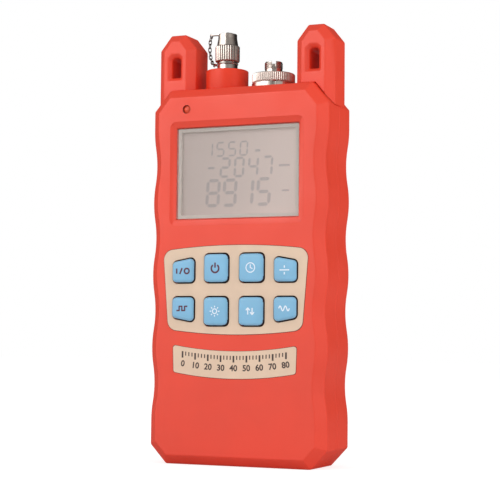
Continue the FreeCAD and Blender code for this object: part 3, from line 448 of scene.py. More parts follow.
def add_painted_light_drift(material, colour, share=0.08, half=0.028):
    """Painted light: the base colour grows lighter from left to right over the display's width."""
    place = add_node(material, "ShaderNodeTexCoord")
    split = add_node(material, "ShaderNodeSeparateXYZ")
    across = add_node(material, "ShaderNodeMapRange", From_Min=-half, From_Max=half)
    ramp = colour_ramp(material, shade(colour, 1 - share), shade(colour, 1 + share))
    wire(material, place, "Object", split, "Vector")
    wire(material, split, "X", across, "Value")
    wire(material, across, "Result", ramp, "Fac")
    feed(material, ramp, "Color", "Base Color")


def add_smudge(material, low, high, size):
    """The roughness drifts between two values, as on handled plastic or metal."""
    noise = noise_at(material, size, 4.0)
    reach = add_node(material, "ShaderNodeMapRange", From_Min=0.3, From_Max=0.7, To_Min=low, To_Max=high)
    wire(material, noise, "Fac", reach, "Value")
    feed(material, reach, "Result", "Roughness")


def math_node(material, operation, first, second=0.0, third=0.5):
    """A calculation on a linked value, given as its node and output, on a second that is linked or
    plain, and on a plain third. It comes back as its own node and output."""
    node = add_node(material, "ShaderNodeMath")
    node.operation = operation
    wire(material, *first, node, 0)
    if isinstance(second, tuple):
        wire(material, *second, node, 1)
    else:
        node.inputs[1].default_value = second
    node.inputs[2].default_value = third
    return node, "Value"


def add_painted_groove_shade(material, x, count, dark, light, share, low, high):
    """Painted shade in grooves: upright stripes round an axis at x between two heights, darkest where
    cos(count t) is -1."""
    place = add_node(material, "ShaderNodeTexCoord")
    about = add_node(material, "ShaderNodeVectorMath")
    about.inputs[1].default_value = (-x * MM, -PORT_Y * MM, 0)
    split = add_node(material, "ShaderNodeSeparateXYZ")
    wire(material, place, "Object", about, 0)
    wire(material, about, "Vector", split, "Vector")
    turn = math_node(material, "ARCTAN2", (split, "Y"), (split, "X"))
    wave = math_node(material, "COSINE", math_node(material, "MULTIPLY", turn, count))
    inside = math_node(material, "COMPARE", (split, "Z"), (low + high) / 2 * MM, (high - low) / 2 * MM)
    bright = add_node(material, "ShaderNodeMapRange", From_Min=-1.0, From_Max=share)
    wire(material, *wave, bright, "Value")
    shown = math_node(material, "SUBTRACT", (bright, "Result"), inside)
    ramp = colour_ramp(material, dark, light)
    wire(material, *math_node(material, "ADD", shown, 1.0), ramp, "Fac")
    feed(material, ramp, "Color", "Base Color")


FINISHES = {}


def finish(slot):
    """Lists a finish under its function's name; its slot is not used. It is made once, when it is first asked
    for."""
    def listed(make):
        FINISHES[make.__name__] = functools.cache(make)
        return FINISHES[make.__name__]
    return listed


def shade(colour, share):
    """A colour made lighter or darker by a share."""
    return tuple(min(255.0, c * share) for c in colour)


def look(name):
    """One of the user's colours as 8-bit screen values."""
    return tuple(255 * share for share in getattr(bpy.context.scene.meter_look, name))


def sizes():
    """The user's sizes, lengths in metres."""
    return bpy.context.scene.meter_sizes


@finish("case_plastic")
def case_plastic():
    """Moulded plastic: satin, with a fine even grain and a slight drift in colour and gloss."""
    colour = look("case_colour")
    material = principled("case_plastic", colour, 0.5, Specular_IOR_Level=0.7)
    add_tint(material, shade(colour, 0.985), shade(colour, 1.015), 28.0)
    add_smudge(material, 0.42, 0.54, 16.0)
    add_grain(material, 0.35, 0.006)
    return material


@finish("case_plastic")
def collar_plastic():
    """The port's collar: the case's plastic with less gloss, which leaves its colour deeper."""
    colour = look("case_colour")
    material = principled("collar_plastic", colour, 0.42, Specular_IOR_Level=0.35)
    add_tint(material, shade(colour, 0.98), shade(colour, 1.01), 9.0)
    add_grain(material, 0.35, 0.004)
    return material


@finish("plate_plastic")
def plate_film():
    """Printed film on the plates: matte, with a faint cloudiness."""
    colour = look("plate_colour")
    material = principled("plate_film", colour, 0.55, Specular_IOR_Level=0.4)
    add_tint(material, shade(colour, 0.985), shade(colour, 1.01), 9.0)
    add_grain(material, 0.25, 0.004)
    return material


@finish("key_plastic")
def key_plastic():
    """Keys: satin plastic, softer in gloss than the case."""
    colour = look("key_colour")
    material = principled("key_plastic", colour, 0.42, Specular_IOR_Level=0.5,
                          Subsurface_Weight=0.08, Subsurface_Scale=0.0008)
    add_tint(material, shade(colour, 0.985), shade(colour, 1.015), 7.0)
    add_grain(material, 0.3, 0.003)
    return material


@finish("key_plastic")
def key_foot():
    """A key's sides and foot: rubber painted near black, as painted shade for the shadow in the gap round the
    key.
    """
    material = principled("key_foot", (44, 30, 40), 0.8)
    add_grain(material, 0.4, 0.008)
    return material


@finish("plate_plastic")
def dark_ink():
    """The dark print of three keys."""
    material = principled("dark_ink", look("dark_ink_colour"), 0.5)
    add_grain(material, 0.2, 0.002)
    return material


@finish("case_plastic")
def edge_dark():
    """Painted shade: a dark film in the joint round a plate and round the lamp's lens, where the recess's
    shadow falls.
    """
    material = principled("edge_dark", (96, 38, 30), 0.8)
    add_tint(material, (84, 32, 26), (112, 46, 36), 3.0)
    return material


@finish("plate_plastic")
def scale_ink():
    """The brown-black print of the label's scale."""
    material = principled("scale_ink", (62, 46, 44), 0.5)
    add_grain(material, 0.2, 0.002)
    return material


@finish("plate_plastic")
def white_ink():
    """The white print of five keys."""
    material = principled("white_ink", (232, 240, 250), 0.5)
    add_grain(material, 0.2, 0.002)
    return material


@finish("window_clear")
def window_glass():
    """The clear window: thin hard-coated sheet with faint wiping marks."""
    material = principled("window_glass", (255, 255, 255), 0.03, IOR=1.49, Transmission_Weight=1.0)
    add_smudge(material, 0.015, 0.05, 11.0)
    return material


@finish("display")
def panel_grey():
    """The reflective panel of the display, with painted light that makes it cooler and lighter towards its
    right end, and the faint dust of its rear polariser."""
    material = principled("panel_grey", look("panel_colour"), 0.45, Specular_IOR_Level=0.3)
    # painted light: the panel grows lighter towards its right end
    add_painted_light_drift(material, look("panel_colour"))
    add_grain(material, 0.15, 0.002)
    return material


@finish("display")
def panel_ink():
    """The display's dark segments, seen at a low contrast, with the panel's painted light growing towards the
    right end.
    """
    material = principled("panel_ink", look("segment_colour"), 0.5, Specular_IOR_Level=0.3)
    # painted light: the segments grow lighter towards the right end, like the panel
    add_painted_light_drift(material, look("segment_colour"))
    add_grain(material, 0.15, 0.002)
    return material


@finish("white_plastic")
def gasket_grey():
    """The soft pale gasket between window and panel."""
    material = principled("gasket_grey", (240, 231, 222), 0.6)
    add_grain(material, 0.4, 0.01)
    return material


@finish("nickel")
def nickel():
    """Polished nickel plate: a clear reflection with faint turning marks and smudges."""
    material = principled("nickel", (208, 202, 198), 0.2, metallic=1.0)
    add_smudge(material, 0.16, 0.26, 3.0)
    add_grain(material, 0.25, 0.0008, stretch=(0.15, 0.15, 3))
    return material


@finish("nickel")
def knurled_nickel():
    """Nickel over knurling: duller, the plate breaks up the light on every tooth, and painted shade darkens the
    grooves between the teeth.
    """
    material = principled("knurled_nickel", (226, 216, 209), 0.42, metallic=1.0)
    # painted shade: darker stripes in the knurl's grooves
    add_painted_groove_shade(material, DETECTOR_X, sizes().knurl_count, (184, 173, 168), (232, 222, 217), 0.2,
                KNURL_LOW + 0.4, KNURL_TOP - 0.4)
    add_smudge(material, 0.36, 0.48, 1.2)
    return material


@finish("nickel")
def fluted_nickel():
    """The cap's nickel, with painted shade in the valleys between the flutes."""
    material = principled("fluted_nickel", (206, 198, 192), 0.24, metallic=1.0)
    # painted shade: darker stripes in the valleys between the flutes
    add_painted_groove_shade(material, SOURCE_X, sizes().flute_count, (136, 129, 126), (208, 201, 196), -0.1,
                CAP_LOW, CAP_LOW + FLUTE_TALL - 0.1)
    add_smudge(material, 0.2, 0.32, 2.0)
    return material


@finish("steel")
def steel():
    """Plain steel: duller than the nickel, with rubbed patches."""
    material = principled("steel", (176, 174, 170), 0.32, metallic=1.0)
    add_smudge(material, 0.25, 0.42, 2.0)
    add_grain(material, 0.3, 0.002)
    return material


@finish("nickel")
def chain_steel():
    """The little chain: darker wire, dulled where the links rub."""
    material = principled("chain_steel", (128, 116, 110), 0.34, metallic=1.0)
    add_smudge(material, 0.26, 0.44, 0.8)
    return material


@finish("brass")
def brass():
    """Turned brass of the barrels and cans."""
    material = principled("brass", (204, 170, 104), 0.25, metallic=1.0)
    add_smudge(material, 0.2, 0.34, 3.0)
    return material


@finish("ceramic")
def ceramic():
    """The split sleeve: dense white ceramic."""
    material = principled("ceramic", (238, 236, 228), 0.2)
    add_tint(material, (238, 236, 228), (232, 229, 220), 2.0)
    return material


@finish("rubber_mat")
def rubber():
    """The grey rubber of the mat and its domes."""
    material = principled("rubber", (150, 152, 154), 0.75)
    add_tint(material, (146, 148, 150), (155, 157, 159), 6.0)
    add_grain(material, 0.4, 0.01)
    return material


@finish("white_plastic")
def tray_white():
    """The white plastic of the display's light tray."""
    material = principled("tray_white", (228, 227, 220), 0.5)
    add_tint(material, (228, 227, 220), (222, 220, 212), 12.0)
    return material


@finish("board")
def board_green():
    """Solder mask over copper: darker lines of track under an even green."""
    material = principled("board_green", (20, 84, 48), 0.35)
    add_tint(material, (16, 74, 42), (26, 96, 56), 1.6, 0.45, 0.5)
    add_grain(material, 1.2, 0.02)
    return material


@finish("chip")
def chip_black():
    """Moulded black epoxy."""
    material = principled("chip_black", (34, 34, 36), 0.6)
    add_grain(material, 0.2, 0.006)
    return material


@finish("lamp_lens")
def lamp_red():
    """The lamp's tinted lens, cloudier in places."""
    colour = look("lamp_colour")
    material = principled("lamp_red", colour, 0.4, Subsurface_Weight=0.2, Subsurface_Scale=0.001)
    add_tint(material, shade(colour, 0.94), shade(colour, 1.06), 0.7)
    add_smudge(material, 0.32, 0.5, 0.9)
    return material


@finish("cell")
def sleeve_print():
    """The printed sleeve of a cell, with a metallic drift."""
    material = principled("sleeve_print", (52, 54, 60), 0.35, metallic=0.3)
    add_tint(material, (48, 50, 56), (60, 62, 68), 9.0)
    add_smudge(material, 0.28, 0.42, 6.0)
    return material


# Settings

def screen(*values):
    """8-bit screen values as a colour setting keeps them, from 0 to 1."""
    return tuple(value / 255 for value in values)


class MeterLook(bpy.types.PropertyGroup):
    """Colours that a user may change"""
    case_colour: FloatVectorProperty(
        name="Case colour", description="Colour of the moulded case",
        subtype="COLOR_GAMMA", default=screen(232, 62, 35), size=3, min=0.0, max=1.0)
    plate_colour: FloatVectorProperty(
        name="Plate colour", description="Colour of the keypad plate and the label",
        subtype="COLOR_GAMMA", default=screen(228, 201, 176), size=3, min=0.0, max=1.0)
    key_colour: FloatVectorProperty(
        name="Key colour", description="Colour of the keys",
        subtype="COLOR_GAMMA", default=screen(130, 186, 220), size=3, min=0.0, max=1.0)
    dark_ink_colour: FloatVectorProperty(
        name="Dark print", description="Colour of the dark printed marks",
        subtype="COLOR_GAMMA", default=screen(84, 34, 62), size=3, min=0.0, max=1.0)
    panel_colour: FloatVectorProperty(
        name="Panel colour", description="Colour of the display's panel",
        subtype="COLOR_GAMMA", default=screen(237, 217, 209), size=3, min=0.0, max=1.0)
    segment_colour: FloatVectorProperty(
        name="Segment colour", description="Colour of the display's segments",
        subtype="COLOR_GAMMA", default=screen(203, 187, 183), size=3, min=0.0, max=1.0)
    lamp_colour: FloatVectorProperty(
        name="Lamp colour", description="Colour of the indicator lamp's lens",
        subtype="COLOR_GAMMA", default=screen(222, 74, 40), size=3, min=0.0, max=1.0)


class MeterSizes(bpy.types.PropertyGroup):
    """Sizes of the finished pieces that a user may change"""
    case_edge: FloatProperty(
        name="Case edge", description="Rounding of the case's outer edges",
        subtype="DISTANCE", unit="LENGTH", precision=5, default=0.00045, min=0.0001, max=0.0015)
    key_round: FloatProperty(
        name="Key rounding", description="Radius of the keys' front edges",
        subtype="DISTANCE", unit="LENGTH", precision=5, default=0.00125, min=0.0003, max=0.0018)
    key_crown: FloatProperty(
        name="Key crown", description="How far a key's middle stands over its edge",
        subtype="DISTANCE", unit="LENGTH", precision=5, default=0.00025, min=0.0, max=0.0006)
    thread_pitch: FloatProperty(
        name="Thread pitch", description="Pitch of the ports' threads",
        subtype="DISTANCE", unit="LENGTH", precision=5, default=0.0006, min=0.0003, max=0.0015)
    flute_count: IntProperty(
        name="Flutes", description="Number of ribs round the dust cap", default=30, min=8, max=60)
    knurl_count: IntProperty(
        name="Knurls", description="Number of teeth round the adapter ring", default=64, min=30, max=160)
    upper_number: StringProperty(
        name="Upper number", description="What the display's small first row shows", default="1550")
    middle_number: StringProperty(
        name="Middle number", description="What the display's second row shows", default="-2047")
    lower_number: StringProperty(
        name="Lower number", description="What the display's large third row shows", default="8915")


class MeterStage(bpy.types.PropertyGroup):
    """Strengths of the lights"""
    key_power: FloatProperty(
        name="Key light", description="Power of the soft box at the upper left",
        unit="POWER", default=3.0, min=0.0, max=50.0)
    fill_power: FloatProperty(
        name="Fill light", description="Power of the soft box at the right",
        unit="POWER", default=5.3, min=0.0, max=50.0)
    room: FloatProperty(
        name="Room light", description="Strength of the even light from the room",
        default=0.6, min=0.0, max=2.0)


def finish_node(node, finish_name):
    """Gives a solid of the model its finish."""
    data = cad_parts[node].data
    data.materials.clear()
    data.materials.append(FINISHES[finish_name]())


# Case

def collar_surface(bore=5.6, radius=9.35, lip=4.6, lip_height=1.5):
    """The plastic collar: a tube on the case's top that a lip narrows at its upper end."""
    low, high = span("laser_collar")
    profile = [(bore, low), (radius, low), (radius, high), (lip, high), (lip, high - lip_height),
               (bore, high - lip_height)]
    return turned(SOURCE_X, PORT_Y, softened(plain(profile), 0.55))


class METER_OT_case(bpy.types.Operator):
    """Front shell, rear shell with its strap ears, and battery door, with rounded edges"""
    bl_idname = "meter.case"
    bl_label = "Case"

    def execute(self, context):
        edge = sizes().case_edge / MM
        rounded_copy(["front_shell"], "front_case", "case_plastic", CASE, edge, 3)
        rounded_copy(["rear_shell", "strap_ear_left", "strap_ear_right"], "rear_case", "case_plastic",
                     CASE, edge, 3)
        rounded_copy(["battery_door"], "door_cover", "case_plastic", "battery_door", 0.25)
        piece = new_piece("source_collar", [collar_surface()], "collar_plastic")
        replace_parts(piece, "laser_collar")
        finish_node("case_screws", "steel")
        return {"FINISHED"}


# Display

SEGMENTS = {"0": "abcdef", "1": "bc", "2": "abged", "3": "abgcd", "4": "fgbc", "5": "afgcd",
            "6": "afgedc", "7": "abc", "8": "abcdefg", "9": "abcdfg", "-": "g"}

# The display's rows: the setting that holds the number, the left end and foot of its first digit about
# the window's middle, the digits' width, height and stroke, and their pitch, all in millimetres

DIGIT_ROWS = (("upper_number", -16.0, 7.3, 3.2, 5.8, 0.75, 5.5),
              ("middle_number", -15.2, -1.7, 3.9, 7.8, 1.05, 6.6),
              ("lower_number", -15.0, -14.1, 5.3, 10.8, 1.45, 7.9))

# Bars where units would stand: left and right ends, and lower and upper edges about the middle

UNIT_BARS = ((7.6, 10.0, 8.5, 9.5), (18.6, 23.6, 1.7, 2.7), (20.2, 23.4, -8.9, -8.1))


def segment_outlines(width, height, thick, gap):
    """The seven segments of one digit as pointed bars: each lies between two of six nodes, and its
    outline is the bar's two ends, drawn in by the gap, with points half a thickness beyond them."""
    nodes = np.array([(0, 2), (1, 2), (1, 1), (1, 0), (0, 0), (0, 1)], float) * (width, height / 2)
    ends = {"a": (0, 1), "b": (1, 2), "c": (2, 3), "d": (4, 3), "e": (4, 5), "f": (5, 0), "g": (5, 2)}
    outlines = {}
    for name, (first, last) in ends.items():
        start, end = nodes[first], nodes[last]
        along = (end - start) / np.linalg.norm(end - start)
        across = np.array([-along[1], along[0]]) * thick / 2
        start, end = start + along * gap, end - along * gap
        tip = along * thick / 2
        outlines[name] = np.array([start, start + tip + across, end - tip + across,
                                   end, end - tip - across, start + tip - across])
    return outlines


def digit_row(text, left, low, width, height, thick, pitch):
    """Seven-segment outlines of a row of digits, leaning a little to the right."""
    gap, lean = 0.18 * thick, 0.06
    shapes = segment_outlines(width, height, thick, gap)
    outlines = []
    for index, letter in enumerate(text):
        for name in SEGMENTS[letter]:
            outline = shapes[name] + (left + index * pitch, low)
            outline[:, 0] += (outline[:, 1] - low) * lean
            outlines.append(outline)
    return outlines


def bar_outline(x0, x1, z0, z1):
    """An upright rectangle's (x, z) corners."""
    return np.array([(x0, z0), (x1, z0), (x1, z1), (x0, z1)], float)


def gasket_surface(back_y, ledge=1.45, play=0.1, slack=0.2, wall=1.004):
    """The gasket: a frame from under the window's rim, a little inside its ledge, to the panel. Its
    wall is as thin as its inner outline's growth by a share."""
    (left, front, low), (right, back, high) = (np.array(corner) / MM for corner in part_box("display_window"))
    half = np.array([(right - left) / 2, (high - low) / 2])
    outer, inner = half - play, half - ledge - slack
    outer, inner = (bar_outline(-w, w, -h, h) for w, h in (outer, inner))
    front_y = back - 0.03
    rows = [(outer, front_y), (inner, front_y), (inner, back_y), (inner * wall, back_y),
            (inner * wall, front_y + 0.03), (outer, front_y + 0.02)]
    grid = np.stack([np.stack([o[:, 0], np.full(4, y), o[:, 1]], -1) for o, y in rows])
    return skin(grid + ((left + right) / 2, 0, (low + high) / 2), wrap_rows=True)


class METER_OT_display(bpy.types.Operator):
    """Window, panel with its digits, gasket between them and the light tray"""
    bl_idname = "meter.display"
    bl_label = "Display"

    def execute(self, context):
        finish_node("display_window", "window_glass")
        finish_node("lcd_panel", "panel_grey")
        finish_node("lcd_tray", "tray_white")
        face_y = span("lcd_panel", 1)[0]
        middle = sum(span("display_window")) / 2
        outlines = []
        for setting, left, low, *shape in DIGIT_ROWS:
            outlines += digit_row(getattr(sizes(), setting), left, middle + low, *shape)
        outlines += [bar_outline(x0, x1, middle + z0, middle + z1) for x0, x1, z0, z1 in UNIT_BARS]
        new_piece("display_digits", prisms(outlines, face_y - 0.02, face_y + 0.02), "panel_ink")
        new_piece("display_gasket", [gasket_surface(face_y - 0.05)], "gasket_grey")
        return {"FINISHED"}


# Keypad

# The keys' flange inside the case, their front and plunger's end, the outer keys' height and how much
# they drop towards their outer side, and the height of the mat's domes, in millimetres

KEY_FLANGE = 0.8
KEY_TOP, KEY_TIP = span("key_power", 1)
OUTER_TALL = 11.1
OUTER_DROP = 1.9
DOME_HEIGHT = 2.5


def key_corners(name, row, column):
    """A key's (x, z) corners, its node's box less the flange. Row 1 is the upper one, and the outer
    keys slope with the plate."""
    left, right = np.array(span(name, 0)) + (KEY_FLANGE, -KEY_FLANGE)
    low, high = np.array(span(name)) + (KEY_FLANGE, -KEY_FLANGE)
    near, far = (right, left) if column < 2 else (left, right)
    base, tip = (low, high) if row == 1 else (high, low)
    drop = 0.0
    if column in (0, 3):
        tip = base + row * OUTER_TALL
        drop = OUTER_DROP
    return np.array([(near, base), (far, base), (far, tip - row * drop), (near, tip)])


def rounded_outline(corners, radius, count=96):
    """Evenly spaced points and outward unit normals of a convex outline with rounded corners: every
    corner is an arc about the point one radius inside both of its sides."""
    centre = corners.mean(0)
    turned_about = corners - centre
    corners = corners[np.argsort(np.arctan2(turned_about[:, 1], turned_about[:, 0]))]
    edge = np.roll(corners, -1, 0) - corners
    normal = np.stack([edge[:, 1], -edge[:, 0]], -1) / np.linalg.norm(edge, axis=1)[:, None]
    before = np.roll(normal, 1, 0)
    mid = before + normal
    arc_centre = corners - radius * mid / (1 + (before * normal).sum(1))[:, None]
    first = np.arctan2(before[:, 1], before[:, 0])
    sweep = (np.arctan2(normal[:, 1], normal[:, 0]) - first) % (2 * np.pi)
    angle = first[:, None] + sweep[:, None] * np.linspace(0, 1, 13)[None, :]
    spoke = np.stack([np.cos(angle), np.sin(angle)], -1)
    points = (arc_centre[:, None] + radius * spoke).reshape(-1, 2)
    spokes = spoke.reshape(-1, 2)
    closed = np.vstack([points, points[:1]])
    closed_spokes = np.vstack([spokes, spokes[:1]])
    run = np.concatenate([[0], np.cumsum(np.linalg.norm(np.diff(closed, axis=0), axis=1))])
    at = np.linspace(0, run[-1], count, endpoint=False)
    even = np.stack([np.interp(at, run, closed[:, k]) for k in (0, 1)], -1)
    direction = np.stack([np.interp(at, run, closed_spokes[:, k]) for k in (0, 1)], -1)
    return even, direction / np.linalg.norm(direction, axis=1)[:, None], centre


def key_depth(x, z, centre, crown, reach=6.0, most=1.6):
    """The key's front surface: a shallow bowl turned outwards, y = top + crown times the squared
    distance from the middle as a share of the squared reach."""
    share = ((x - centre[0]) ** 2 + (z - centre[1]) ** 2) / reach ** 2
    return KEY_TOP + crown * np.minimum(share, most)


def key_surface(corners, edge, crown, trim=np.array((0.05, 0.25)), corner=2.0, plunger=2.4, slope=0.1):
    """A key as rings round its middle: crowned front, a quarter-round edge, straight sides drawn in by
    the trim in x and z, the flange inside the case, and the plunger."""
    outline, spoke, centre = rounded_outline(corners, corner)
    outline = outline - spoke * trim
    flange_y, plunger_y = FRONT_Y + 2.35, FRONT_Y + 3.35
    inner = outline - spoke * edge
    rings = []
    for share in (0.12, 0.3, 0.5, 0.68, 0.84, 1.0):
        ring = centre + (inner - centre) * share
        rings.append(np.stack([ring[:, 0], key_depth(*ring.T, centre, crown), ring[:, 1]], -1))
    rim_y = rings[-1][:, 1]
    for turn in np.linspace(0, np.pi / 2, 7)[1:]:
        ring = outline - spoke * edge * (1 - math.sin(turn))
        rings.append(np.stack([ring[:, 0], rim_y + edge * (1 - math.cos(turn)), ring[:, 1]], -1))
    away = outline - centre
    round_about = centre + plunger * away / np.linalg.norm(away, axis=1)[:, None]
    rim = outline + spoke * (KEY_FLANGE + trim)
    drawn_in = rim - spoke * slope
    for ring, y in ((outline, FRONT_Y + 0.1), (outline, flange_y - slope), (drawn_in, flange_y),
                    (rim, flange_y + slope), (rim, plunger_y - slope), (drawn_in, plunger_y),
                    (round_about, plunger_y), (round_about, KEY_TIP)):
        rings.append(np.stack([ring[:, 0], np.full(len(ring), y), ring[:, 1]], -1))
    poles = [(centre[0], y, centre[1]) for y in (KEY_TOP, KEY_TIP)]
    return skin(np.stack(rings), poles=poles)


def sheet_surface(corners, front_y, back_y, edge=0.3, slope=0.1):
    """A flat sheet with rounded corners and a rounded front edge."""
    outline, spoke, centre = rounded_outline(corners, 1.0, 64)
    rings = [(outline - edge * spoke, front_y), (outline, front_y + edge), (outline, back_y - slope),
             (outline - slope * spoke, back_y)]
    grid = np.stack([np.stack([ring[:, 0], np.full(len(ring), y), ring[:, 1]], -1) for ring, y in rings])
    return skin(grid, poles=[(centre[0], y, centre[1]) for y in (front_y, back_y)])


def dome_surface(x, z, base_y, top_y, wide=4.2, narrow=2.4):
    """A rubber dome: a cone of rings whose radius falls from wide to narrow, with rounded edges."""
    profile = softened(plain([(0, base_y), (wide, base_y), (narrow, top_y), (0, top_y)]), 0.5, 4, False)
    t = np.linspace(0, 2 * np.pi, 48, endpoint=False)[None, :]
    radius, depth = profile[1:-1, 0][:, None], profile[1:-1, 1][:, None]
    grid = np.stack([x + radius * np.cos(t), depth + 0 * t, z + radius * np.sin(t)], -1)
    return skin(grid, poles=[(x, base_y, z), (x, top_y, z)])


def arc_path(x, z, radius, start, end, count=25):
    """Points on a circle from one angle in degrees to another."""
    t = np.radians(np.linspace(start, end, count))
    return np.stack([x + radius * np.cos(t), z + radius * np.sin(t)], -1)


def line_path(*points):
    """Points along straight runs, close enough together to lie on a curved key."""
    points = np.array(points, float)
    share = np.linspace(0, len(points) - 1, 6 * (len(points) - 1) + 1)
    index = np.arange(len(points))
    return np.stack([np.interp(share, index, points[:, k]) for k in (0, 1)], -1)


def stroke(path, width, depth_at, closed=False, over=-0.025, under=0.05):
    """A printed line as a low strip: the path is widened by half the width to both sides, and the
    strip's four edges lie just over and just under the surface that it is printed on."""
    if closed:
        path = path[:-1]
        tangent = np.roll(path, -1, 0) - np.roll(path, 1, 0)
    else:
        tangent = np.gradient(path, axis=0)
    tangent /= np.linalg.norm(tangent, axis=1)[:, None]
    side = np.stack([-tangent[:, 1], tangent[:, 0]], -1) * width / 2
    grid = []
    for across, lift in ((side, over), (-side, over), (-side, under), (side, under)):
        edge = path + across
        grid.append(np.stack([edge[:, 0], depth_at(*edge.T) + lift, edge[:, 1]], -1))
    grid = np.stack(grid, 1)
    if closed:
        return skin(grid, wrap_rows=True)
    return skin(grid, poles=(grid[0].mean(0), grid[-1].mean(0)))


def key_marks():
    """The generic mark of every key: its ink, its strokes' width, and the strokes about the key's
    middle in millimetres."""
    spot = [line_path((-2.7, -1.1), (-2.7, 1.1)), arc_path(2.1, 0, 1.1, 0, 360),
            line_path((-1.2, -1.3), (-0.1, 1.3))]
    power = [arc_path(0, -0.2, 1.75, 125, 415), line_path((0, 0.1), (0, 2.3))]
    clock = [arc_path(0, 0, 2.0, 0, 360), line_path((0, 1.3), (0, 0), (1.0, -0.5))]
    level = [line_path((-2.2, 0), (2.2, 0)), line_path((0, 0.9), (0, 1.9)), line_path((0, -0.9), (0, -1.9))]
    pulse = [line_path((-2.6, -0.9), (-1.3, -0.9)), line_path((-1.3, -1.15), (-1.3, 1.15)),
             line_path((-1.3, 0.9), (0, 0.9)), line_path((0, 1.15), (0, -1.15)),
             line_path((0, -0.9), (1.3, -0.9)), line_path((1.3, -1.15), (1.3, 1.15)),
             line_path((1.3, 0.9), (2.6, 0.9))]
    spokes = [np.array((math.cos(turn), math.sin(turn))) for turn in np.radians(np.arange(0, 360, 45))]
    sun = [arc_path(0, 0, 1.0, 0, 360)] + [line_path(1.6 * spoke, 2.3 * spoke) for spoke in spokes]
    arrows = [line_path((-1.0, -1.4), (-1.0, 1.2)), line_path((-1.9, 0.4), (-1.0, 1.4), (-0.1, 0.4)),
              line_path((1.0, 1.4), (1.0, -1.2)), line_path((0.1, -0.4), (1.0, -1.4), (1.9, -0.4))]
    wave = np.stack([np.linspace(-2.4, 2.4, 33), np.sin(np.linspace(0, 4 * np.pi, 33))], -1)
    return {
        "key_laser": ("dark_ink", 0.7, spot),
        "key_power": ("dark_ink", 0.75, power),
        "key_auto": ("white_ink", 0.42, clock),
        "key_zero": ("white_ink", 0.5, level),
        "key_pulse": ("dark_ink", 0.62, pulse),
        "key_light": ("white_ink", 0.42, sun),
        "key_unit": ("white_ink", 0.5, arrows),
        "key_wavelength": ("white_ink", 0.5, [wave]),
    }


KEY_ROWS = {1: ("key_laser", "key_power", "key_auto", "key_zero"),
            -1: ("key_pulse", "key_light", "key_unit", "key_wavelength")}


class METER_OT_keypad(bpy.types.Operator):
    """The plate, eight keys with their marks, and the rubber mat under them"""
    bl_idname = "meter.keypad"
    bl_label = "Keypad"

    def execute(self, context):
        rounded_copy(["keypad_plate"], "keypad_panel", "plate_film", CASE, 0.12, 2, CORNER_ANGLE)
        # painted shade: a dark outline round the plate for the shadow of its recess
        painted_shade_outline("keypad_plate", "keypad_joint")
        marks = key_marks()
        crown = sizes().key_crown / MM
        edge = sizes().key_round / MM
        low, high = (np.array(corner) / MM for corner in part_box("keypad_mat"))
        sheet_y = low[1] + DOME_HEIGHT
        sheet = sheet_surface(bar_outline(low[0], high[0], low[2], high[2]), sheet_y, high[1])
        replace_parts(new_piece("mat_sheet", [sheet], "rubber"), "keypad_mat")
        for row, names in KEY_ROWS.items():
            for column, name in enumerate(names):
                corners = key_corners(name, row, column)
                centre = corners.mean(0)
                self.add_key(name, corners, edge, crown)
                self.print_mark(name, *marks[name], centre, crown)
                dome = new_piece(name + "_dome", [dome_surface(*centre, sheet_y + 0.05, low[1])], "rubber")
                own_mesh(dome)
        return {"FINISHED"}

    def add_key(self, name, corners, edge, crown):
        """The key's cap, whose sides and plunger have its foot's painted shade."""
        key = new_piece(name + "_cap", [key_surface(corners, edge, crown)], "key_plastic", name, 60.0)
        # painted shade: the key's sides and plunger get a near-black finish for the shadow in the gap round the
        # key
        key.data.materials.append(key_foot())
        behind = face_centres(key.data)[:, 1] > FRONT_Y - 1.0
        key.data.polygons.foreach_set("material_index", behind.astype(int))
        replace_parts(key, name)

    def print_mark(self, name, ink, width, paths, centre, crown):
        """The mark's strokes, laid on the key's crowned front."""
        def depth_at(x, z):
            return key_depth(x, z, centre, crown)
        strips = [stroke(path + centre, width, depth_at, np.allclose(path[0], path[-1])) for path in paths]
        new_piece(name + "_mark", strips, ink, name)


# Label

# The label sags like the plate's lower edge: by so much in the middle of the strip's half width. Its
# scale has ticks and numbers at these heights over the middle, all in millimetres

SAG = 2.5
SAG_HALF = 28.7
SCALE_HALF = 24.0
TICK_Z = 49.3
NUMBER_Z = 42.9
NUMBER_TALL = 2.5


def sagging(x, z):
    """Where a point of a straight strip lies on the sagging one: z less sag (1 - (x / half)^2)."""
    return z - SAG * (1 - (x / SAG_HALF) ** 2)


def number_mesh(text, height):
    """A number's mesh, thin and a little bold, its capitals so tall, in the text's own plane."""
    letters = bpy.data.curves.new("number", "FONT")
    letters.body = text
    letters.size = height / 0.7
    letters.align_x = "CENTER"
    letters.extrude = 0.03
    letters.offset = 0.1
    letters.resolution_u = 4
    holder = bpy.data.objects.new("number", letters)
    bpy.context.scene.collection.objects.link(holder)
    mesh = bpy.data.meshes.new_from_object(holder)
    bpy.data.objects.remove(holder)
    return mesh


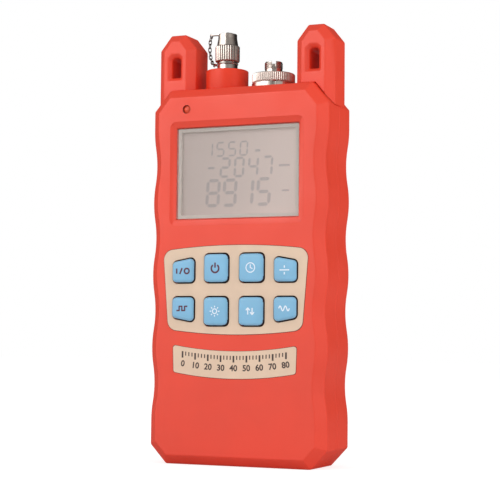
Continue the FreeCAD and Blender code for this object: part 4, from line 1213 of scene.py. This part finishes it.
class METER_OT_label(bpy.types.Operator):
    """The strip below the keys, with a plain scale of ticks and numbers"""
    bl_idname = "meter.label"
    bl_label = "Label strip"

    def execute(self, context):
        rounded_copy(["label_strip"], "label_film", "plate_film", CASE, 0.08, 2, CORNER_ANGLE)
        # painted shade: a dark outline round the strip for the shadow of its recess
        painted_shade_outline("label_strip", "label_joint")
        face_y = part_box("label_strip")[0][1] / MM
        ticks = []
        for index, x in enumerate(np.linspace(-SCALE_HALF, SCALE_HALF, 33)):
            width, tall = (0.5, 1.7) if index % 4 else (0.8, 2.8)
            top = sagging(x, TICK_Z)
            ticks.append(bar_outline(x - width / 2, x + width / 2, top - tall, top))
        new_piece("scale_ticks", prisms(ticks, face_y - 0.02, face_y + 0.05), "scale_ink")
        self.add_numbers(face_y)
        return {"FINISHED"}

    def add_numbers(self, face_y):
        """The numbers 0 to 80, each turned to the slope of the strip where it stands."""
        joined = bmesh.new()
        for index, x in enumerate(np.linspace(-SCALE_HALF, SCALE_HALF, 9)):
            mesh = number_mesh(str(index * 10), NUMBER_TALL)
            slope = math.atan(2 * SAG * x / SAG_HALF ** 2)
            place = (Matrix.Translation((x * MM, (face_y + 0.01) * MM, sagging(x, NUMBER_Z) * MM))
                     @ Matrix.Rotation(-slope, 4, "Y") @ Matrix.Rotation(math.radians(90), 4, "X")
                     @ Matrix.Scale(MM, 4))
            mesh.transform(place)
            joined.from_mesh(mesh)
            bpy.data.meshes.remove(mesh)
        bmesh.ops.remove_doubles(joined, verts=joined.verts, dist=1e-7)
        numbers = bpy.data.meshes.new("scale_numbers")
        joined.to_mesh(numbers)
        joined.free()
        placed(bpy.data.objects.new("scale_numbers", numbers), "scale_ink", CASE)


# Source port, cap and chain

# The wire ring round the neck: its radius, how far its eye reaches, its wire's radius and its height.
# The turn in which the chain leans, and the place of the plate's eye towards -X, in millimetres

RING_RADIUS = 4.53
RING_EYE = 6.13
RING_WIRE = 0.28
RING_Z = sum(span("neck_ring")) / 2
CHAIN_LEAN = math.radians(47.0)
PLATE_EYE = 7.5


def ring_surface():
    """The wire ring round the neck: a circle whose radius swells into an eye towards -X, as
    r = radius + (eye - radius) ((1 + cos(pi a / 0.45)) / 2)^0.6 with a the angle from the eye, up to
    0.45."""
    t = np.linspace(0, 2 * np.pi, 120, endpoint=False)
    away = np.clip(np.abs(t - np.pi) / 0.45, 0, 1)
    radius = RING_RADIUS + (RING_EYE - RING_RADIUS) * (0.5 + 0.5 * np.cos(np.pi * away)) ** 0.6
    path = np.stack([SOURCE_X + radius * np.cos(t), PORT_Y + radius * np.sin(t), np.full(120, RING_Z)], -1)
    ahead = np.roll(path, -1, 0) - np.roll(path, 1, 0)
    ahead /= np.linalg.norm(ahead, axis=1)[:, None]
    up = np.tile((0.0, 0.0, 1.0), (120, 1))
    return tube(path, np.cross(ahead, up), up, RING_WIRE)


def chain_surfaces(link_count=11, wire_radius=0.2, gap=0.1, bulge=4.8, rim=0.825, bend=0.65):
    """Links of round wire, each square to the next, along a circular arc from the ring's eye to the
    eye of the cap's plate. A link's line is a stadium: two half circles and two straight sides."""
    hold = 0.5 * math.hypot(0.45, 0.5)
    start = np.array([SOURCE_X - RING_EYE, PORT_Y, RING_Z])
    end = np.array([SOURCE_X - PLATE_EYE - rim * math.cos(CHAIN_LEAN), PORT_Y + rim * math.sin(CHAIN_LEAN),
                    (PLATE_LOW + PLATE_TOP) / 2])
    chord = np.linalg.norm(end - start)
    along = (end - start) / chord
    radius = (chord ** 2 / 4 + bulge ** 2) / (2 * bulge)
    spread = 2 * math.asin(chord / (2 * radius))
    end_hold = 2 * wire_radius + RING_WIRE + hold + 2 * gap
    length = (radius * spread + end_hold + (link_count - 1) * (2 * wire_radius + gap)) / link_count
    pitch = length - 2 * wire_radius - gap
    side = np.cross(along, (0, 1, 0))
    side /= np.linalg.norm(side)
    out = side * math.cos(CHAIN_LEAN) + np.cross(side, along) * math.sin(CHAIN_LEAN)
    centre = (start + end) / 2 - out * (radius - bulge)
    first = length / 2 - wire_radius - RING_WIRE - gap
    t = np.linspace(0, 2 * np.pi, 28, endpoint=False) + 0.01
    surfaces = []
    for index in range(link_count):
        turn = (first + index * pitch) / radius - spread / 2
        spot = centre + radius * (out * math.cos(turn) + along * math.sin(turn))
        ahead = along * math.cos(turn) - out * math.sin(turn)
        across = np.cross((0, 1, 0), ahead)
        across /= np.linalg.norm(across)
        if index % 2:
            across = np.cross(ahead, across)
        spoke = np.cos(t)[:, None] * ahead + np.sin(t)[:, None] * across
        path = spot + bend * spoke + np.sign(np.cos(t))[:, None] * ahead * (length / 2 - bend)
        flat = np.tile(np.cross(ahead, across), (len(t), 1))
        surfaces.append(tube(path, spoke, flat, wire_radius, 8))
    return surfaces


class METER_OT_source_port(bpy.types.Operator):
    """The light source port: threaded neck, split sleeve, barrel and emitter"""
    bl_idname = "meter.source_port"
    bl_label = "Light source port"

    def execute(self, context):
        pitch = sizes().thread_pitch / MM
        core = 3.65
        rim, top = CAP_LOW, span("laser_neck")[1]
        outer = [(2.6, FLANGE_LOW), (7.0, FLANGE_LOW), (7.0, FLANGE_TOP), (5.5, FLANGE_TOP),
                 (5.5, CASE_TOP + 7.8), (4.5, CASE_TOP + 7.8), (4.5, RING_Z - 0.4), (4.15, RING_Z - 0.4),
                 (4.15, RING_Z + 0.4), (4.5, RING_Z + 0.4), (4.5, rim - 0.1), (core, rim - 0.1)]
        inner = [(core, top), (1.36, top), (1.36, top - 0.5), (1.7, top - 0.5), (1.7, CASE_TOP + 4.2),
                 (1.2, CASE_TOP + 4.2), (1.2, CASE_TOP + 0.3), (2.6, CASE_TOP + 0.3)]
        profile = np.vstack([softened(plain(outer), 0.12, 2, False),
                             thread_rows(core, 0.3, rim, rim + 3.0, 0.3),
                             softened(plain(inner), 0.12, 2, False)])
        neck = new_piece("source_neck", [turned(SOURCE_X, PORT_Y, profile, 96, thread(pitch))], "nickel")
        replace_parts(neck, "laser_neck")
        ring = new_piece("neck_wire", [ring_surface()], "nickel")
        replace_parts(ring, "neck_ring")
        finish_node("laser_sleeve", "ceramic")
        finish_node("laser_module", "brass")
        finish_node("laser_diode", "brass")
        return {"FINISHED"}


class METER_OT_dust_cap(bpy.types.Operator):
    """The fluted cap with its swivel plate, rivet and chain"""
    bl_idname = "meter.dust_cap"
    bl_label = "Dust cap"

    def execute(self, context):
        depth, low, top = 0.28, CAP_LOW, CAP_TOP
        ribs = low + FLUTE_TALL
        bore = [(0, low + 4.4, 0), (4.05, low + 4.4, 0), (4.05, low, 0), (5.0, low, depth),
                (5.4, low + 0.4, depth), (5.4, ribs - 0.4, depth), (5.0, ribs, depth), (4.72, ribs + 0.05, 0),
                (4.15, top - 1.7, 0), (4.15, top, 0), (0.65, top, 0), (0.65, top - 1.6, 0), (0, top - 1.6, 0)]
        profile = softened(bore, 0.22, 4, False)
        cap = turned(SOURCE_X, PORT_Y, profile, 360, flutes(sizes().flute_count), True)
        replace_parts(new_piece("cap_shell", [cap], "fluted_nickel", "dust_cap", 40.0), "dust_cap")
        rounded_copy(["chain_tab"], "cap_plate", "nickel", "dust_cap", 0.12, 2, CORNER_ANGLE)
        r = np.linspace(0, 1, 9)
        dome = np.stack([1.4 * r, PLATE_TOP + 0.05 + 0.45 * np.sqrt(1 - r ** 2), 0 * r], -1)
        shank = plain([(1.4, PLATE_TOP), (0.6, PLATE_TOP), (0.6, top - 1.6), (0, top - 1.6)])
        rivet = turned(SOURCE_X, PORT_Y, np.vstack([dome, shank]), 48, None, True)
        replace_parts(new_piece("cap_rivet_head", [rivet], "nickel", "dust_cap"), "cap_rivet")
        chain = new_piece("cap_links", chain_surfaces(), "chain_steel", None)
        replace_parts(chain, "cap_chain")
        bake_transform(chain)
        return {"FINISHED"}


# Detector port

def slotted_barrel(x, y, profile, turn, half_width, columns, pattern):
    """A turned wall with an upright slot: at radius r the surface runs round from one flat side of
    the slot to the other, from asin(half width / r) past it to as much before it."""
    u = np.linspace(0, 1, columns)[None, :]
    radius, height, depth = (profile[:, k][:, None] for k in range(3))
    start = np.arcsin(half_width / radius)
    t = turn + start + u * (2 * np.pi - 2 * start)
    radius = radius - depth * pattern(t, height)
    grid = np.stack([x + radius * np.cos(t), y + radius * np.sin(t), height + 0 * t], -1)
    rows = grid.transpose(1, 0, 2)
    return skin(rows, poles=(rows[0].mean(0), rows[-1].mean(0)))


class METER_OT_detector_port(bpy.types.Operator):
    """The detector port: base, knurled ring, threaded receptacle and sensor"""
    bl_idname = "meter.detector_port"
    bl_label = "Detector port"

    def execute(self, context):
        self.add_flange()
        self.add_knurl(sizes().knurl_count)
        self.add_receptacle(sizes().thread_pitch / MM)
        finish_node("photodiode", "brass")
        return {"FINISHED"}

    def add_flange(self, cut=0.9, bore=2.0, seat=2.75):
        """The base: a barrel with a flange in the case, and a rim on its top with the notch."""
        low, top = span("detector_base")
        rim = CASE_TOP + 2.3
        corners = [(seat, low, 0), (5.2, low, 0), (5.2, FLANGE_LOW, 0), (7.8, FLANGE_LOW, 0),
                   (7.8, FLANGE_TOP, 0), (6.5, FLANGE_TOP, 0), (6.5, CASE_TOP, 0), (9.5, CASE_TOP, cut),
                   (9.5, rim, cut), (7.0, rim, 0), (7.0, top, 0), (bore, top, 0), (bore, low + 3.6, 0),
                   (seat, low + 3.6, 0)]
        base = turned(DETECTOR_X, PORT_Y, softened(corners, 0.2), 360, notch(SLOT_TURN, 0.6 / 9.0))
        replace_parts(new_piece("detector_flange", [base], "nickel"), "detector_base")

    def add_knurl(self, count, depth=0.3):
        """The ring that turns: a knurled rim with a lid whose hole lets the receptacle through."""
        low, top = KNURL_LOW, KNURL_TOP
        rim = [(7.1, low, 0), (8.85, low, 0), (9.35, low + 0.5, depth), (9.35, top - 0.5, depth),
               (8.85, top, 0), (4.1, top, 0), (4.1, top - 0.9, 0), (7.1, top - 0.9, 0)]
        ring = turned(DETECTOR_X, PORT_Y, softened(rim, 0.25, 3), 10 * count, knurl(count))
        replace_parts(new_piece("knurled_ring", [ring], "knurled_nickel", "adapter_ring", 50.0), "adapter_ring")

    def add_receptacle(self, pitch, bore=2.95, core=3.78, ferrule=1.26):
        """The receptacle: a foot with the ferrule's bore, and the threaded wall with its key slot."""
        low, top = span("fc_receptacle")
        seat = span("detector_base")[1] + 0.05
        lid = KNURL_TOP - 1.0
        ledge = top - 3.5
        lower = [(ferrule, low), (1.95, low), (1.95, seat), (6.4, seat), (6.4, lid), (3.8, lid),
                 (3.8, ledge), (bore, ledge), (bore, low + 4.5), (ferrule, low + 4.5)]
        foot = turned(DETECTOR_X, PORT_Y, softened(plain(lower), 0.1, 2))
        wall = np.vstack([[(bore, ledge, 0), (core, ledge, 0)],
                          thread_rows(core, 0.22, ledge + 0.2, top - 0.4, 0.25),
                          [(core, top - 0.35, 0), (3.65, top - 0.08, 0), (3.5, top, 0), (3.05, top, 0),
                           (bore, top - 0.1, 0)]])
        barrel = slotted_barrel(DETECTOR_X, PORT_Y, wall, SLOT_TURN, 0.9, 90, thread(pitch))
        piece = new_piece("threaded_barrel", [foot, barrel], "nickel")
        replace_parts(piece, "fc_receptacle")


# Cells and inner pieces

CELL_PITCH = 14.9
CELL_Y = sum(span("battery_1", 1)) / 2


def spring_surface(x, wide_z, sign, wide=4.4, narrow=2.4, turns=3.5, length=2.9, wire=0.33):
    """A cone spring: a helix whose radius falls from wide to narrow in its turns over its length."""
    share = np.linspace(0, 1, 120)
    turn = 2 * np.pi * turns * share
    radius = wide - (wide - narrow) * share
    path = np.stack([x + radius * np.cos(turn), CELL_Y + radius * np.sin(turn),
                     wide_z + sign * (0.35 + length * share)], -1)
    ahead = np.gradient(path, axis=0)
    ahead /= np.linalg.norm(ahead, axis=1)[:, None]
    spoke = np.stack([np.cos(turn), np.sin(turn), 0 * turn], -1)
    return tube(path, spoke, np.cross(ahead, spoke), wire, 8, False)


def lamp_shade_ring_surface():
    """Painted shade round the lamp's lens: a thin dark wire round a circle as wide as the lamp's foot, for the
    shadow in the gap round it.
    """
    left, right = span("indicator_led", 0)
    middle = np.array([(left + right) / 2, FRONT_Y + 0.3, sum(span("indicator_led")) / 2])
    t = np.linspace(0, 2 * np.pi, 48, endpoint=False)
    spoke = np.stack([np.cos(t), 0 * t, np.sin(t)], -1)
    path = middle + (right - left) / 2 * spoke
    return tube(path, spoke, np.tile((0.0, 1.0, 0.0), (len(t), 1)), 0.2, 8)


class METER_OT_inside(bpy.types.Operator):
    """Cells, springs, contacts, board, chips, lamp and screws"""
    bl_idname = "meter.inside"
    bl_label = "Inside"

    def execute(self, context):
        for index in range(3):
            name = "battery_%d" % (index + 1)
            x = (index - 1) * CELL_PITCH
            low, high = span(name)
            foot, way = (high, -1) if index % 2 else (low, 1)
            can = [(0, 0), (6.3, 0), (7.2, 0.9), (7.2, 48.6), (6.7, 49.5), (3.4, 49.5), (2.75, 49.6),
                   (2.75, 50.5), (0, 50.5)]
            profile = softened(plain(can), 0.35, 4, False)
            profile[:, 1] = foot + way * profile[:, 1]
            surface = turned(x, CELL_Y, profile, 64, None, True)
            cell = new_piece("cell_%d" % (index + 1), [surface], "sleeve_print")
            cell.data.materials.append(steel())
            heights = np.abs(face_centres(cell.data)[:, 2] - foot)
            bare = (heights < 0.95) | (heights > 48.55)
            cell.data.polygons.foreach_set("material_index", bare.astype(int))
            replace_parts(cell, name)
        bay_low, bay_top = span("battery_2")[0], span("battery_1")[1]
        springs = [spring_surface(-CELL_PITCH, bay_low, 1), spring_surface(0, bay_top, -1),
                   spring_surface(CELL_PITCH, bay_low, 1)]
        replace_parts(new_piece("cone_springs", springs, "steel"), "battery_springs")
        finish_node("contact_plates", "nickel")
        finish_node("main_board", "board_green")
        finish_node("board_chips", "chip_black")
        finish_node("board_screws", "steel")
        finish_node("indicator_led", "lamp_red")
        # painted shade: a dark ring where the gap round the lamp's lens lies in shadow
        new_piece("lamp_joint", [lamp_shade_ring_surface()], "edge_dark")
        return {"FINISHED"}


# Stage

# What polished metal mirrors: towards a direction, the room grows from one strength to another where
# the cosine of the angle to it goes from low to high

ROOM_PARTS = (((0, -1, 0), -0.6, 0.3, 0.02, 0.36),
              ((-0.70, -0.71, 0.1), 0.62, 0.93, 0.0, 1.95),
              ((0.80, -0.60, 0.1), 0.90, 0.98, 0.0, 0.3))


# The light boxes' places and sizes, the spot that they aim at, the camera's place, aim, lens and roll,
# and how far the floor reaches: lengths in metres, the lens in millimetres

KEY_PLACE, KEY_SIZE = (-0.42, -0.78, 0.62), 0.55
FILL_PLACE, FILL_SIZE = (0.95, -0.15, 0.30), 1.0
LIGHT_AIM = (0, 0, 0.09)
VIEW_PLACE = (0.25805, -0.58524, 0.05315)
VIEW_AIM = (-0.00015, 0.001, 0.09267)
VIEW_LENS = 106.19
VIEW_ROLL = math.radians(0.54)
FLOOR_REACH = 3.0


class METER_OT_stage(bpy.types.Operator):
    """Floor, soft lights, room and camera"""
    bl_idname = "meter.stage"
    bl_label = "Stage"

    def execute(self, context):
        scene = bpy.context.scene
        scene.view_settings.view_transform = "Standard"
        stage = scene.meter_stage
        self.add_floor()
        self.add_room(stage.room)
        self.add_light("key", KEY_PLACE, KEY_SIZE, stage.key_power)
        fill = self.add_light("fill", FILL_PLACE, FILL_SIZE, stage.fill_power)
        fill.visible_glossy = False
        self.add_camera()
        return {"FINISHED"}

    def add_floor(self):
        """A white floor that glows towards the camera, is darker in reflections and keeps the object's
        shadow."""
        points = FLOOR_REACH * np.array([(-1, -1, 0), (1, -1, 0), (1, 1, 0), (-1, 1, 0)], float)
        mesh = bpy.data.meshes.new("floor")
        mesh.from_pydata(points.tolist(), [], [(0, 1, 2, 3)])
        floor = bpy.data.objects.new("floor", mesh)
        bpy.context.scene.collection.objects.link(floor)
        material = bpy.data.materials.new("floor_white")
        material.use_nodes = True
        material.node_tree.nodes.clear()
        rays = add_node(material, "ShaderNodeLightPath")
        seen = add_node(material, "ShaderNodeMapRange", To_Min=0.95, To_Max=0.5)
        mirrored = add_node(material, "ShaderNodeMapRange", To_Min=0.0, To_Max=0.7)
        matte = add_node(material, "ShaderNodeBsdfDiffuse")
        glow = add_node(material, "ShaderNodeEmission")
        total = add_node(material, "ShaderNodeAddShader")
        out = add_node(material, "ShaderNodeOutputMaterial")
        wire(material, rays, "Is Camera Ray", seen, "Value")
        wire(material, rays, "Is Glossy Ray", mirrored, "Value")
        level = math_node(material, "SUBTRACT", (seen, "Result"), (mirrored, "Result"))
        wire(material, *level, matte, "Color")
        wire(material, *math_node(material, "MULTIPLY", (rays, "Is Camera Ray"), 0.72), glow, "Strength")
        wire(material, matte, "BSDF", total, 0)
        wire(material, glow, "Emission", total, 1)
        wire(material, total, "Shader", out, "Surface")
        mesh.materials.append(material)

    def add_room(self, strength):
        """White towards the eye. For reflections the room is dim, dark behind the object, with a wide
        soft box at the left and a narrow one at the right."""
        world = bpy.data.worlds.new("room")
        bpy.context.scene.world = world
        world.use_nodes = True
        world.node_tree.nodes.clear()
        place = add_node(world, "ShaderNodeTexCoord")
        total = None
        for toward, low, high, start, end in ROOM_PARTS:
            facing = add_node(world, "ShaderNodeVectorMath")
            facing.operation = "DOT_PRODUCT"
            facing.inputs[1].default_value = Vector(toward).normalized()
            part = add_node(world, "ShaderNodeMapRange", From_Min=low, From_Max=high, To_Min=start,
                            To_Max=end)
            part.interpolation_type = "SMOOTHSTEP"
            wire(world, place, "Generated", facing, 0)
            wire(world, facing, "Value", part, "Value")
            total = math_node(world, "ADD", total, (part, "Result")) if total else (part, "Result")
        even = add_node(world, "ShaderNodeBackground", Color=(1, 1, 1, 1), Strength=strength)
        mirrored = add_node(world, "ShaderNodeBackground", Color=(1, 0.93, 0.86, 1))
        white = add_node(world, "ShaderNodeBackground", Color=(1, 1, 1, 1))
        rays = add_node(world, "ShaderNodeLightPath")
        lit = add_node(world, "ShaderNodeMixShader")
        shown = add_node(world, "ShaderNodeMixShader")
        out = add_node(world, "ShaderNodeOutputWorld")
        seen = math_node(world, "MAXIMUM", (rays, "Is Camera Ray"), (rays, "Is Transmission Ray"))
        wire(world, *total, mirrored, "Strength")
        wire(world, rays, "Is Glossy Ray", lit, "Fac")
        wire(world, even, "Background", lit, 1)
        wire(world, mirrored, "Background", lit, 2)
        wire(world, *seen, shown, "Fac")
        wire(world, lit, "Shader", shown, 1)
        wire(world, white, "Background", shown, 2)
        wire(world, shown, "Shader", out, "Surface")

    def add_light(self, name, place, size, power):
        """A square light box that faces the object."""
        lamp = bpy.data.lights.new(name, "AREA")
        lamp.size = size
        lamp.energy = power
        light = bpy.data.objects.new(name, lamp)
        light.location = place
        aim = Vector(LIGHT_AIM) - Vector(place)
        light.rotation_euler = aim.to_track_quat("-Z", "Y").to_euler()
        bpy.context.scene.collection.objects.link(light)
        return light

    def add_camera(self):
        """The camera of the photo, as fitted to the case's edges."""
        camera = bpy.data.cameras.new("view")
        camera.lens = VIEW_LENS
        camera.sensor_width = 36.0
        camera.clip_start = 0.01
        holder = bpy.data.objects.new("view", camera)
        place = Vector(VIEW_PLACE)
        aim = Vector(VIEW_AIM) - place
        turn = aim.to_track_quat("-Z", "Y").to_matrix().to_4x4()
        holder.matrix_world = Matrix.Translation(place) @ turn @ Matrix.Rotation(VIEW_ROLL, 4, "Z")
        bpy.context.scene.collection.objects.link(holder)
        bpy.context.scene.camera = holder


class METER_PT_panel(bpy.types.Panel):
    """Lists the pieces of the meter and their settings"""
    bl_idname = "METER_PT_panel"
    bl_label = "Optical Power Meter"
    bl_space_type = "VIEW_3D"
    bl_region_type = "UI"
    bl_category = "Meter"

    def draw(self, context):
        column = self.layout.column()
        for operator in OPERATORS:
            column.operator(operator.bl_idname)
        for group in (context.scene.meter_look, context.scene.meter_sizes, context.scene.meter_stage):
            for name in group.bl_rna.properties.keys():
                if name not in ("rna_type", "name"):
                    column.prop(group, name)


OPERATORS = (METER_OT_case, METER_OT_display, METER_OT_keypad, METER_OT_label, METER_OT_source_port,
             METER_OT_dust_cap, METER_OT_detector_port, METER_OT_inside, METER_OT_stage)
GROUPS = {"meter_look": MeterLook, "meter_sizes": MeterSizes, "meter_stage": MeterStage}


def register():
    """Registers the settings, the operators and the panel."""
    for group in GROUPS.values():
        bpy.utils.register_class(group)
    for name, group in GROUPS.items():
        setattr(bpy.types.Scene, name, PointerProperty(type=group))
    for operator in OPERATORS:
        bpy.utils.register_class(operator)
    bpy.utils.register_class(METER_PT_panel)


def unregister():
    """Takes away what register() added."""
    bpy.utils.unregister_class(METER_PT_panel)
    for operator in reversed(OPERATORS):
        bpy.utils.unregister_class(operator)
    for name, group in GROUPS.items():
        delattr(bpy.types.Scene, name)
        bpy.utils.unregister_class(group)


def main():
    """Makes all pieces and the stage."""
    register()
    bpy.ops.meter.case()
    bpy.ops.meter.display()
    bpy.ops.meter.keypad()
    bpy.ops.meter.label()
    bpy.ops.meter.source_port()
    bpy.ops.meter.dust_cap()
    bpy.ops.meter.detector_port()
    bpy.ops.meter.inside()
    bpy.ops.meter.stage()


if __name__ == "__main__":
    main()
